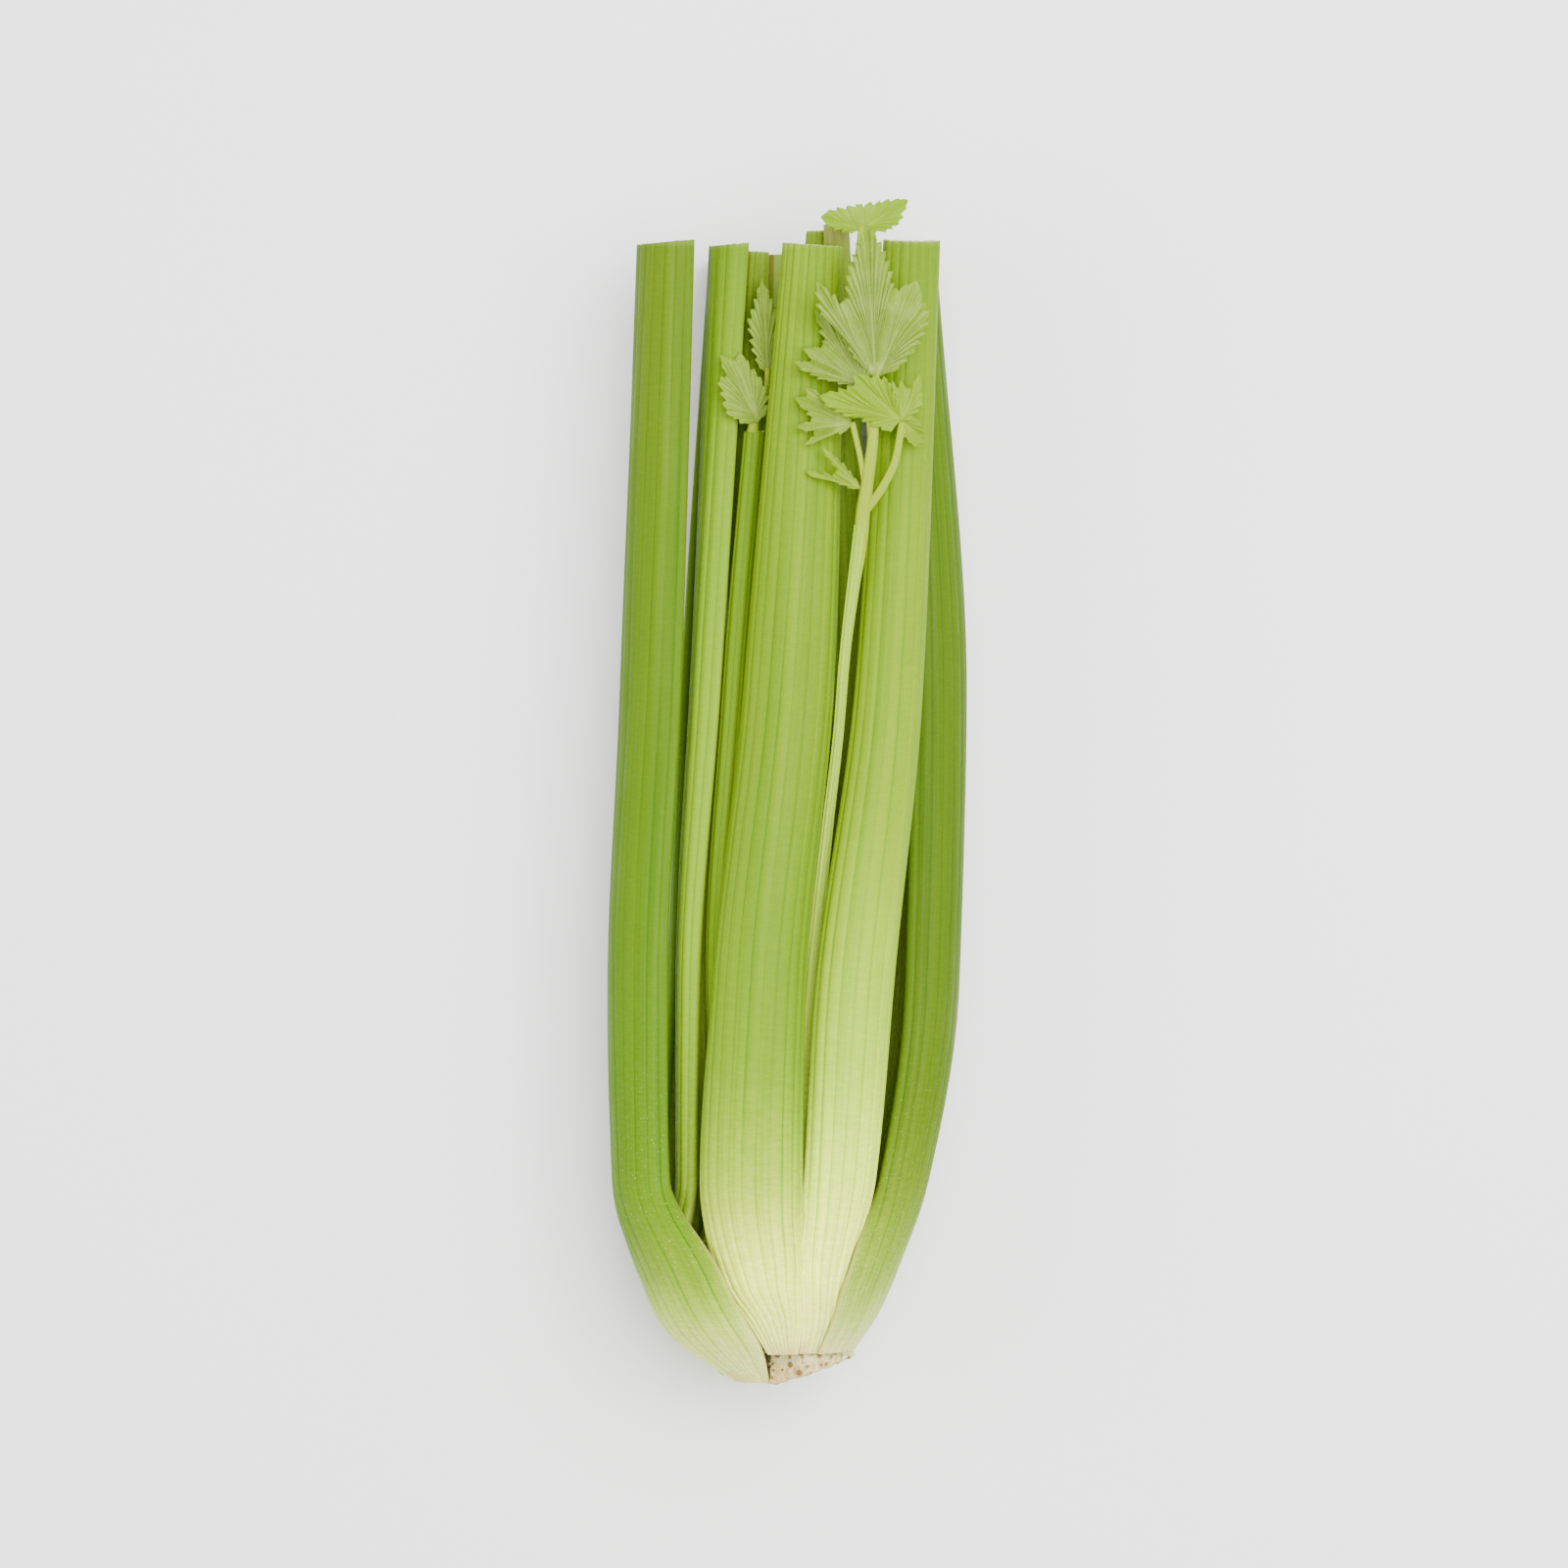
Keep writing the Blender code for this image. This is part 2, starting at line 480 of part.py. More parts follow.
def blade(spec):
    """A thin, closed, waved leaf blade that fans out from its base."""
    shape, base, tip, roll, fold, droop, seed = spec
    rng = random.Random(seed)
    base = np.array(base)
    along = np.array(tip) - base
    length = float(np.linalg.norm(along))
    along = along / length
    up = np.array([0.0, 0.0, 1.0])
    up = up - np.dot(up, along) * along
    up = up / np.linalg.norm(up)
    side = np.cross(along, up)
    roll = math.radians(roll)
    up, side = math.cos(roll) * up + math.sin(roll) * side, math.cos(roll) * side - math.sin(roll) * up
    waves = [rng.uniform(0, 2 * math.pi) for _ in range(2)]
    rays = toothed_edge(SHAPES[shape], length, rng)
    front = []
    back = []
    for turn, edge in rays:
        for ring in range(BLADE_RINGS + 1):
            share = 0.07 + 0.93 * ring / BLADE_RINGS
            r = edge * share
            x = r * math.cos(turn)
            s = r * math.sin(turn)
            wave = 0.035 * r * math.sin(5 * turn + waves[0])
            wave += 0.02 * r * (r / length) * math.sin(9 * turn + waves[1])
            height = fold * abs(s) + droop * x * x / length * 4 + wave
            middle = base + x * along + s * side + height * up
            front.append(middle + 0.5 * BLADE_THICKNESS * up)
            back.append(middle - 0.5 * BLADE_THICKNESS * up)
    row = BLADE_RINGS + 1
    count = len(front)
    faces = []
    for ray in range(len(rays) - 1):
        for ring in range(BLADE_RINGS):
            a = ray * row + ring
            b = a + 1
            c = a + row
            d = c + 1
            faces += [(a, b, c), (b, d, c)]
            faces += [(count + a, count + c, count + b), (count + b, count + c, count + d)]
    rim = [ray * row + BLADE_RINGS for ray in range(len(rays))]
    rim += [(len(rays) - 1) * row + ring for ring in reversed(range(BLADE_RINGS))]
    rim += [ray * row for ray in reversed(range(len(rays) - 1))]
    rim += list(range(1, BLADE_RINGS))
    for k, a in enumerate(rim):
        b = rim[(k + 1) % len(rim)]
        faces += [(a, count + a, b), (b, count + a, count + b)]
    points = front + back
    return points, faced_out(points, faces)


def fused(name, solids, material, shift):
    """One object from overlapping solids, joined by a single union."""
    first = mesh_object(name, *solids[0], material, shift)
    group = bpy.data.collections.new(name + "_joined")
    bpy.context.scene.collection.children.link(group)
    rest = []
    for k, (points, faces) in enumerate(solids[1:]):
        obj = mesh_object(f"{name}_{k}", points, faces, material, shift)
        bpy.context.scene.collection.objects.unlink(obj)
        group.objects.link(obj)
        rest.append(obj)
    union = first.modifiers.new("union", "BOOLEAN")
    union.operation = "UNION"
    union.operand_type = "COLLECTION"
    union.collection = group
    union.solver = "EXACT"
    graph = bpy.context.evaluated_depsgraph_get()
    joined = bpy.data.meshes.new_from_object(first.evaluated_get(graph))
    first.modifiers.remove(union)
    first.data = joined
    for obj in rest:
        bpy.data.objects.remove(obj)
    bpy.data.collections.remove(group)
    return first


def new_material(name, colour, roughness):
    material = bpy.data.materials.new(name)
    material.use_nodes = True
    shader = next(node for node in material.node_tree.nodes if node.type == "BSDF_PRINCIPLED")
    shader.inputs["Base Color"].default_value = (*colour, 1.0)
    shader.inputs["Roughness"].default_value = roughness
    return material


def main():
    for obj in list(bpy.data.objects):
        bpy.data.objects.remove(obj)
    cache = {}
    solids = {name: [stalk_solid(name, cache)] for name in PRESS_ORDER}
    solids["butt"] = [butt_solid()]
    for name, spec in LEAF_NODES.items():
        solids[name] = [tube(path, PETIOLE_SIDES) for path in spec["petioles"]]
        solids[name] += [blade(leaf) for leaf in spec["blades"]]
    every = np.array([p for parts in solids.values() for points, _ in parts for p in points])
    low = every.min(axis=0)
    high = every.max(axis=0)
    shift = np.array([-0.5 * (low[0] + high[0]), -0.5 * (low[1] + high[1]), -low[2]])
    for name, parts in solids.items():
        kind = name.split("_")[0]
        material = new_material(name + "_surface", COLOURS[kind], 0.8 if kind == "butt" else 0.45)
        if len(parts) == 1:
            obj = mesh_object(name, *parts[0], material, shift)
        else:
            obj = fused(name, parts, material, shift)
        if kind in ("stalk", "inner", "heart"):
            for polygon in obj.data.polygons:
                polygon.use_smooth = len(polygon.vertices) == 4


main()
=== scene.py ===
"""A head of celery that lies on its back: ribbed stalks with fresh cut tops, a browned butt, and leaves.

Lengths are in millimetres in the head's own frame until a mesh is made: +Y from the butt to the cut tops,
+X to the right, +Z up from the floor. Each stalk is a loft of crescent sections, as in the solids, with finer
ribs and lips.
"""
import math
import random

import bpy
import numpy as np
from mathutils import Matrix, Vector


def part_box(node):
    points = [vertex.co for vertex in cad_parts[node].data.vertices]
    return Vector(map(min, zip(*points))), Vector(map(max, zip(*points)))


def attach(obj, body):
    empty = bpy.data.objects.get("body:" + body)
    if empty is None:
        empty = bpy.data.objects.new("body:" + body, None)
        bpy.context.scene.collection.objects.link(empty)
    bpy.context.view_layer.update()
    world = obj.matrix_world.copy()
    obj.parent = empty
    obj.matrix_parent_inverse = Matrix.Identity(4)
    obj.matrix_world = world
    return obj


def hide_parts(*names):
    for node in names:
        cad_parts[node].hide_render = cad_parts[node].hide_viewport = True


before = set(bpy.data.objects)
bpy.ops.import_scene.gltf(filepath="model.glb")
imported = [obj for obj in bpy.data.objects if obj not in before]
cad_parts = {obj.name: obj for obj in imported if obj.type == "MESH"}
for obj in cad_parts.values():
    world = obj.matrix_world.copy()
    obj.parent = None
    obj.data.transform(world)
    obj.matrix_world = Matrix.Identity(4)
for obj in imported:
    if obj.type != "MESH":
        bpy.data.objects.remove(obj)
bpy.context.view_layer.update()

MM = 0.001

# The stalk bases stand in rings round this axis, and the outermost ring follows the head's rounded base.
BASE_X = -6.0
BASE_Z = 36.0
RING_LEVELS = (0.0, 0.8, 2.0, 4.0, 9.0, 16.0, 29.0)
RING_RADII = (6.5, 9.5, 13.5, 18.0, 23.8, 29.0, 35.2)
RING_TOP = 29.0

# Half of the free stalk's arc, and how deep its section is against its half width.
FREE_HALF_ANGLE = math.radians(95)
FREE_DEPTH = 0.86

# How much thinner the wall is at a section's edges: more at the base, where the edges tuck under each other.
EDGE_THINNING = ((0.0, 0.75), (34.0, 0.75), (62.0, 0.42), (330.0, 0.42))

# At this level, between the base and the free stalk, the half width has this share of the base's radius, and
# the rest of the free stalk's.
BEND_LEVEL = 43.0
BEND_SHARE = 0.4

# The fine sections: the ribs' relief, points round a rib, rows across a cut top, and room between stalks.
RIB_HEIGHT = 0.34
RIB_POINTS = 8
CUT_ROWS = 6
STALK_GAPS = ((0.0, 0.10), (45.0, 0.16), (80.0, 0.45), (330.0, 0.45))
# How much wider than its solid a stalk is at the base, so that its edges lie against its neighbours.
BASE_SPREADS = {"stalk_front": 0.17, "stalk_front_right": 0.28}
SPREAD_SHARES = ((0.0, 1.0), (30.0, 1.0), (50.0, 0.0), (330.0, 0.0))
# The channel inside a stalk: the height, turns for each rib and shift of its waves, then its least radius
# and depth against the section's half width.
CHANNEL_WAVES = ((0.12, 0.9, 0.0), (0.10, 0.37, 1.0))
LEAST_INSIDE = 0.22
LEAST_DEPTH = 0.13
# The share of its arc that a section's outline takes up.
ARC_SHARE = 0.985
# The sections' levels: the steps low and high, where these meet, and how far the last are below the top.
LOW_STEP = 2.0
HIGH_STEP = 8.0
LOW_TOP = 60.0
TOP_DEPTHS = (12, 8, 5, 3, 1.5, 0.5, 0)

# What the stalks of a ring share. start: the level of the base. inset: how far its crown stands inside the
# outermost ring. base_wall: its thickness. curl: its radius of curvature against that of its ring.
OUTER_RING = dict(inset=0.0, base_wall=6.7, curl=1.0, ribs=10)
SECOND_RING = dict(inset=7.4, base_wall=6.4, curl=1.0, start=7.0)
INNER_RING = dict(inset=14.8, base_wall=6.0, curl=1.0, start=14.5, ribs=6)
HEART_RING = dict(inset=22.2, base_wall=5.0, curl=1.0, start=20.0)

# base: direction and half span at the start and the ring's top. wall: its thickness low and at the top.
# keys: level, crown x, crown z and the direction that the crown faces. radii: half widths at the same levels.
STALKS = {
    "stalk_left": dict(
        OUTER_RING, start=0.8, base=((140, 56), (150.5, 43)), wall=(6.6, 5.4),
        keys=((57, -47.0, 46.0, 150), (110, -48.2, 46.0, 150), (190, -44.6, 46.0, 147),
              (314, -39.6, 44.0, 143)),
        radii=(12.6, 12.2, 12.0, 10.8),
    ),
    "stalk_right": dict(
        OUTER_RING, start=9.5, base=((18, 36), (18, 35)), wall=(6.4, 5.2),
        keys=((57, 37.8, 40.5, 22), (110, 46.0, 40.0, 24), (190, 47.8, 38.0, 26), (311, 39.6, 33.0, 30)),
        radii=(12.2, 12.0, 11.8, 9.0),
    ),
    "stalk_back_left": dict(
        OUTER_RING, start=2.0, base=((234, 37), (234, 37)), wall=(6.4, 5.2),
        keys=((57, -31.0, 5.8, 234), (110, -27.5, 1.6, 240), (190, -23.0, 0.4, 247), (313, -16.0, 0.2, 255)),
        radii=(12.2, 12.2, 11.6, 8.4),
    ),
    "stalk_back_right": dict(
        OUTER_RING, start=5.0, base=((307, 34), (307, 34)), wall=(6.4, 5.2),
        keys=((57, 24.5, 7.6, 310), (110, 32.5, 2.8, 305), (190, 35.5, 1.4, 300), (315, 34.5, 0.4, 292)),
        radii=(12.2, 12.2, 11.6, 9.0),
    ),
    "stalk_front": dict(
        inset=2.0, base_wall=5.6, curl=0.43, start=9.5, base=((78, 24), (92, 52)), ribs=11, wall=(6.8, 5.2),
        keys=((57, -11.0, 70.0, 94), (110, -8.9, 71.0, 94), (190, -0.5, 69.0, 92), (312.5, 6.8, 62.0, 88)),
        radii=(14.4, 13.0, 12.5, 8.4),
    ),
    "stalk_back": dict(
        SECOND_RING, base=((272, 36), (272, 36)), ribs=10, wall=(6.2, 5.2),
        keys=((57, -2.5, 0.6, 273), (110, 2.5, -0.9, 271), (190, 4.0, -0.9, 270), (314, 3.0, -0.4, 270)),
        radii=(11.4, 11.8, 11.6, 8.8),
    ),
    "stalk_side_left": dict(
        SECOND_RING, base=((190, 34), (190, 34)), ribs=8, wall=(5.4, 4.6),
        keys=((57, -31.0, 41.0, 190), (110, -31.2, 42.5, 188), (190, -27.5, 43.0, 178),
              (313.5, -21.6, 42.0, 162)),
        radii=(9.0, 8.8, 9.4, 9.4),
    ),
    "stalk_front_right": dict(
        inset=2.4, base_wall=5.0, curl=0.31, start=9.5, base=((50, 40), (57, 46)), ribs=9, wall=(6.0, 5.0),
        keys=((57, 16.4, 62.0, 70), (110, 20.0, 66.0, 76), (190, 28.9, 65.0, 77), (313.5, 34.6, 59.0, 81)),
        radii=(10.8, 11.2, 9.7, 8.0),
    ),
    "inner_front": dict(
        INNER_RING, base=((128, 34), (128, 34)), wall=(4.6, 2.8),
        keys=((57, -10.6, 54.0, 110), (110, -7.0, 53.5, 102), (190, 0.5, 51.0, 98), (317.5, 7.8, 44.0, 96)),
        radii=(7.0, 6.8, 6.2, 3.4),
    ),
    "inner_left": dict(
        INNER_RING, base=((204, 34), (204, 34)), wall=(4.6, 2.8),
        keys=((57, -22.0, 31.0, 185), (110, -20.5, 32.6, 170), (190, -16.5, 36.0, 140),
              (312, -9.4, 42.0, 100)),
        radii=(7.2, 7.0, 6.2, 3.6),
    ),
    "inner_back": dict(
        INNER_RING, base=((284, 34), (284, 34)), wall=(4.6, 3.4),
        keys=((57, -2.0, 20.5, 280), (110, 3.0, 19.0, 278), (190, 10.0, 18.0, 276), (311, 18.0, 17.0, 272)),
        radii=(7.4, 7.2, 6.6, 5.2),
    ),
    "inner_right": dict(
        HEART_RING, base=((-10, 40), (-10, 40)), ribs=5, wall=(4.2, 2.8),
        keys=((57, 11.0, 38.0, 10), (110, 17.5, 42.0, 35), (190, 19.0, 45.5, 60), (319, 13.2, 48.5, 86)),
        radii=(5.8, 6.4, 6.0, 3.6),
    ),
    "heart_left": dict(
        HEART_RING, base=((170, 40), (170, 40)), ribs=4, wall=(3.2, 2.6),
        keys=((57, -16.6, 44.2, 135), (80, -20.2, 47.4, 122), (110, -20.6, 50.4, 110),
              (190, -16.0, 50.0, 105), (262, -9.8, 49.0, 96)),
        radii=(3.4, 3.4, 3.5, 3.3, 3.0),
    ),
    "heart_leafy": dict(
        HEART_RING, base=((70, 34), (70, 34)), ribs=4, wall=(3.0, 2.6),
        keys=((57, 2.4, 48.0, 75), (110, 6.2, 54.0, 85), (152, 10.4, 56.4, 86), (180, 13.6, 60.0, 88),
              (200, 15.2, 63.4, 88), (236, 19.8, 67.4, 90)),
        radii=(3.4, 2.2, 1.8, 1.6, 1.6, 2.2),
    ),
}
# A stalk gives way to those before it in this order.
PRESS_ORDER = (
    "stalk_left", "stalk_right", "stalk_back_left", "stalk_back_right", "stalk_front", "stalk_front_right",
    "stalk_back", "stalk_side_left", "inner_front", "inner_left", "inner_back", "inner_right",
    "heart_left", "heart_leafy",
)

# The knife's cut over each top: its slope to the right and its slope towards the back.
CUT_SLOPES = {
    "stalk_left": (0.08, 0.06), "stalk_right": (-0.05, 0.10), "stalk_front": (-0.07, 0.07),
    "stalk_front_right": (-0.03, 0.14), "stalk_side_left": (0.06, 0.08), "inner_left": (-0.06, 0.10),
}
PLAIN_CUT_SLOPE = (0.03, 0.12)
# The length below the top over which the sections come to lie along the cut.
CUT_BLEND = 14

# The butt: its middle as x and z, its reach, the level where it narrows to a neck inside the stalks, the
# neck's middle, and the slope of the cut face, which rises to the right of this x.
BUTT_MIDDLE = (4.0, 38.0)
BUTT_REACH = 13.0
BUTT_NECK_LEVEL = 9.5
BUTT_NECK_MIDDLE = (-5.0, 36.0)
BUTT_SLOPE = 0.33
BUTT_SLOPE_X = -4.0
BUTT_POINTS = 240
BUTT_GAP = 0.5
BUTT_PITS = 26
ROOT_STUBS = 46
FACE_SHARES = (0.02, 0.08, *(0.15 + 0.05 * k for k in range(16)), 0.94, 0.97, 0.99)
WALL_SHARES = (0.06, 0.14, 0.25, 0.36, 0.48, 0.6, 0.72, 0.84, 0.93, 1.0)
NECK_LEVELS = ((BUTT_NECK_LEVEL, 14.5), (14.5, 20.0))
# A rootlet's rings: how far out each is, how wide and how dark, from 0 to 1.
STUB_RINGS = ((0.0, 1.35, 0.0), (0.5, 1.0, 0.1), (0.9, 1.05, 0.3), (1.0, 0.85, 0.6), (0.86, 0.3, 1.0))
STUB_SIDES = 9

# Leaf blades: each shape lists where its edge is, as degrees clockwise from the blade's own axis and the
# reach there against the blade's length. It is greatest at a lobe's tip and least in a notch or at the base.
SHAPES = {
    "three_lobed": (
        (-41, 0.12), (-37, 0.60), (-28, 0.74), (-19, 0.55), (-9, 0.80), (0, 1.0), (8, 0.82),
        (15, 0.60), (26, 0.69), (39, 0.58), (47, 0.50), (58, 0.32), (68, 0.13),
    ),
    "cupped": (
        (-60, 0.18), (-20, 0.45), (-14, 0.66), (-9, 0.84), (0, 1.0), (14, 0.80),
        (21, 0.71), (28, 0.79), (38, 0.69), (57, 0.54), (66, 0.14),
    ),
    "left_lobed": (
        (-54, 0.14), (-47, 0.60), (-36, 0.82), (-30, 0.66), (-24, 0.80),
        (-12, 0.66), (0, 1.0), (12, 0.74), (30, 0.54), (58, 0.14),
    ),
    "many_lobed": (
        (-64, 0.14), (-56, 0.50), (-46, 0.82), (-37, 0.62), (-26, 0.88), (-16, 0.66),
        (0, 1.0), (7, 0.84), (14, 0.94), (24, 0.66), (58, 0.16),
    ),
    "blunt": (
        (-68, 0.14), (-60, 0.36), (-44, 0.50), (-30, 0.60), (-17, 0.79), (-9, 0.80),
        (0, 1.0), (8, 0.88), (15, 0.94), (24, 0.72), (50, 0.38), (70, 0.14),
    ),
    "slim": ((-44, 0.12), (-26, 0.42), (-19, 0.60), (-10, 0.74), (0, 1.0), (9, 0.76), (18, 0.58), (40, 0.12)),
    "forked": (
        (-16, 0.14), (-8, 0.84), (0, 1.0), (7, 0.72), (14, 0.52),
        (21, 0.78), (28, 1.0), (35, 0.72), (48, 0.14),
    ),
    "half_open": (
        (-165, 0.18), (-150, 0.46), (-138, 0.62), (-126, 0.76), (-112, 0.68), (-90, 0.50),
        (-58, 0.46), (-30, 0.56), (-12, 0.78),
        (0, 1.0), (10, 0.86), (20, 0.74), (32, 0.62), (42, 0.46), (60, 0.14),
    ),
}
# All blades: the points' step along the edge, the thickness, a tooth's length and depth, how much a side vein
# bends, and the length from which a blade has full teeth and the finer rings.
EDGE_STEP = 0.38
BLADE_THICKNESS = 0.42
TOOTH_LENGTH = 3.0
TOOTH_DEPTH = 1.5
VEIN_BEND = 1.8
LONG_BLADE = 30.0

# Each blade: shape, base, tip, roll about its length in degrees, fold, droop towards the tip, seed, and its
# age: 0 is young and lime, 1 is grown and dull. Each petiole: a path with a radius at every point.
LEAF_NODES = {
    "leaves_front": dict(
        petioles=(
            (
                (19.9, 237.4, 65.8, 2.0), (21.2, 247.0, 68.0, 1.8), (22.8, 260.0, 70.4, 1.5),
                (23.6, 277.0, 71.2, 0.9),
            ),
            (
                (20.6, 239.6, 66.3, 1.3), (25.6, 246.6, 67.8, 1.2), (29.0, 254.0, 69.2, 1.1),
                (30.7, 264.0, 70.4, 1.0),
            ),
            (
                (22.6, 262.0, 69.6, 1.1), (20.8, 284.0, 66.0, 1.0), (18.6, 303.0, 60.5, 1.0),
                (19.9, 318.4, 58.0, 0.9),
            ),
            ((22.4, 258.0, 70.0, 1.0), (21.6, 266.0, 70.6, 0.8), (20.9, 274.6, 70.4, 0.8)),
            ((21.0, 245.0, 67.7, 1.0), (19.4, 254.0, 69.2, 0.8), (17.2, 263.8, 69.9, 0.8)),
        ),
        blades=(
            ("three_lobed", (23.6, 275.0, 71.2), (20.8, 317.3, 69.0), 4, 0.1, 0.03, 1, 0.9),
            ("left_lobed", (21.0, 273.4, 70.2), (6.5, 294.6, 67.8), -6, 0.12, -0.025, 2, 1.0),
            ("cupped", (30.8, 264.2, 71.6), (8.0, 270.5, 73.2), -12, 0.2, -0.03, 3, 0.0),
            ("left_lobed", (30.4, 263.8, 70.4), (36.4, 276.6, 72.0), 14, 0.2, -0.08, 4, 0.1),
            ("many_lobed", (17.4, 263.0, 69.8), (1.0, 270.5, 68.9), -8, 0.12, -0.02, 5, 0.7),
            ("blunt", (30.6, 265.0, 69.9), (37.3, 257.6, 67.4), 6, 0.18, -0.05, 6, 0.25),
            ("forked", (19.8, 245.6, 67.9), (4.3, 250.8, 68.3), -8, 0.16, -0.02, 7, 0.15),
            ("half_open", (20.0, 316.8, 58.2), (32.6, 326.0, 57.0), -8, 0.16, -0.06, 9, 0.0),
        ),
    ),
    "leaves_left": dict(
        petioles=(
            ((-9.9, 263.2, 47.6, 1.5), (-9.2, 271.0, 49.6, 1.1)),
            ((-9.4, 266.0, 48.4, 1.1), (-6.4, 272.0, 48.8, 0.9), (-5.8, 279.6, 49.2, 0.8)),
        ),
        blades=(
            ("blunt", (-8.4, 264.6, 49.8), (-17.8, 282.8, 54.8), 10, 0.14, -0.05, 11, 0.8),
            ("slim", (-5.8, 277.3, 49.2), (-7.2, 304.1, 50.6), 4, 0.1, -0.03, 12, 0.9),
        ),
    ),
}
PETIOLE_SIDES = 18
PETIOLE_STEP = 1.2

# How the first petiole of each node starts: inside the heart stalk that it grows from, below its top.
STEM_ROOTS = {
    "leaves_front": ((19.0, 222.0, 63.6, 0.8), (19.5, 229.0, 64.9, 1.5), (19.8, 235.6, 65.6, 2.0)),
    "leaves_left": ((-10.4, 249.0, 45.6, 1.0), (-10.1, 256.0, 46.1, 1.9), (-10.0, 261.6, 46.6, 2.1)),
}

# The camera looks straight down from this height, and its frame is this wide at the height of the head's
# middle, in metres. It aims at this x and y of the head.
CAMERA_HEIGHT = 2.24
MIDDLE_HEIGHT = 0.040
FRAME_WIDTH = 0.432
SENSOR = 36.0
AIM = (-1.35, 165.5)

# The studio, in metres: the floor, the room's light, and each lamp's place, size, and power in watts.
FLOOR_REACH = 3
FLOOR_LEVEL = -0.0006
PAPER_COLOUR = (0.90, 0.90, 0.90, 1.0)
WORLD_STRENGTH = 1.12
LIGHTS = (
    ("overhead_softbox", (0.45, 0.25, 1.5), (1.1, 1.3), 68.0),
    ("left_fill", (-1.3, -0.1, 1.0), (1.0, 1.4), 11.0),
)

# Linear colours. A stalk has one for each of these levels, from the base to the cut top.
COLOUR_LEVELS = (4.0, 16.0, 28.0, 50.0, 85.0, 160.0, 320.0)
STALK_COLOURS = {
    "outer": (
        (0.66, 0.74, 0.18), (0.38, 0.54, 0.03), (0.14, 0.25, 0.003), (0.082, 0.172, 0.002),
        (0.077, 0.163, 0.002), (0.071, 0.148, 0.002), (0.086, 0.148, 0.003),
    ),
    "front": (
        (0.82, 0.8, 0.25), (0.8, 0.9, 0.14), (0.86, 0.94, 0.1), (0.25, 0.4, 0.006),
        (0.124, 0.232, 0.002), (0.12, 0.215, 0.002), (0.15, 0.25, 0.003),
    ),
    "front_right": (
        (0.82, 0.82, 0.28), (0.9, 0.94, 0.18), (0.9, 0.96, 0.14), (0.66, 0.86, 0.06),
        (0.29, 0.46, 0.01), (0.152, 0.255, 0.003), (0.108, 0.192, 0.002),
    ),
    "right": (
        (0.62, 0.68, 0.25), (0.38, 0.5, 0.06), (0.2, 0.3, 0.012), (0.1, 0.165, 0.003),
        (0.062, 0.12, 0.002), (0.055, 0.11, 0.002), (0.074, 0.135, 0.002),
    ),
    "side": (
        (0.62, 0.68, 0.25), (0.46, 0.58, 0.1), (0.3, 0.44, 0.025), (0.215, 0.35, 0.012),
        (0.19, 0.325, 0.008), (0.195, 0.35, 0.008), (0.088, 0.164, 0.002),
    ),
    "inner": (
        (0.72, 0.76, 0.3), (0.62, 0.7, 0.16), (0.4, 0.5, 0.06), (0.15, 0.235, 0.01),
        (0.1, 0.165, 0.005), (0.085, 0.145, 0.003), (0.15, 0.235, 0.011),
    ),
    # The heart's pale green is partly its own colour, partly painted light that makes up for the shade deep
    # between the stalks.
    "heart": (
        (0.8, 0.82, 0.34), (0.74, 0.8, 0.24), (0.66, 0.78, 0.15), (0.52, 0.71, 0.07),
        (0.43, 0.62, 0.045), (0.3, 0.46, 0.03), (0.225, 0.325, 0.006),
    ),
}
# The colours of each stalk that doesn't have the outer ones.
FINISHES = {
    "stalk_front": "front", "stalk_front_right": "front_right", "stalk_right": "right",
    "stalk_side_left": "side", "inner_front": "inner", "inner_left": "inner", "inner_back": "inner",
    "inner_right": "inner", "heart_left": "side", "heart_leafy": "heart",
}
# How much a stalk's top has dried, over what length below the cut, and to what colour.
DRIED_TOPS = {
    "inner_right": (0.55, 10.0, (0.36, 0.31, 0.095)), "stalk_back": (0.80, 18.0, (0.15, 0.12, 0.02)),
    "heart_left": (0.0, 1.0, (0.36, 0.31, 0.095)), "heart_leafy": (0.0, 1.0, (0.36, 0.31, 0.095)),
}
PLAIN_DRIED_TOP = (0.12, 1.2, (0.40, 0.38, 0.12))
# How far, in millimetres, the colour levels waver with a rib's tone and with the skin's clouds.
TONE_WAVER = 5.5
CLOUD_WAVER = 3.0

# The skin's textures: spots for each rib across a stalk, and for each millimetre along it.
GROOVE_SPACING = (5.3, 0.01)
FINE_LINE_SPACING = (5.5, 0.01)
TONE_SPACING = (0.9, 0.006)
CELL_SPACING = (1.2, 1.15)
SPECK_SPACING = (1.6, 0.42)
CLOUD_SPACING = (0.35, 0.035)
# How the strings wander along a stalk, and where each texture or width starts to show and shows in full.
DRIFT_RATE = 0.012
DRIFT_REACH = 0.16
GROOVE_WIDTHS = (0.02, 0.13)
GROOVE_FAINTNESS = (0.35, 0.62, 0.25, 1.0)
FINE_LINE_RANGE = (0.50, 0.66)
CELL_RANGE = (0.36, 0.66)
SPECK_WIDTHS = (0.05, 0.17)
CLOUD_RANGE = (0.30, 0.70)
MOTTLE_RANGE = (0.32, 0.68)
# From the first level down to the second, a layer's strength goes from the third number to the fourth.
LEVEL_STRENGTHS = {
    "groove": (110.0, 40.0, 0.66, 1.0), "fine line": (110.0, 40.0, 0.50, 0.90),
    "cell highlight": (140.0, 40.0, 0.35, 0.80), "speck glint": (110.0, 30.0, 0.02, 0.30),
}
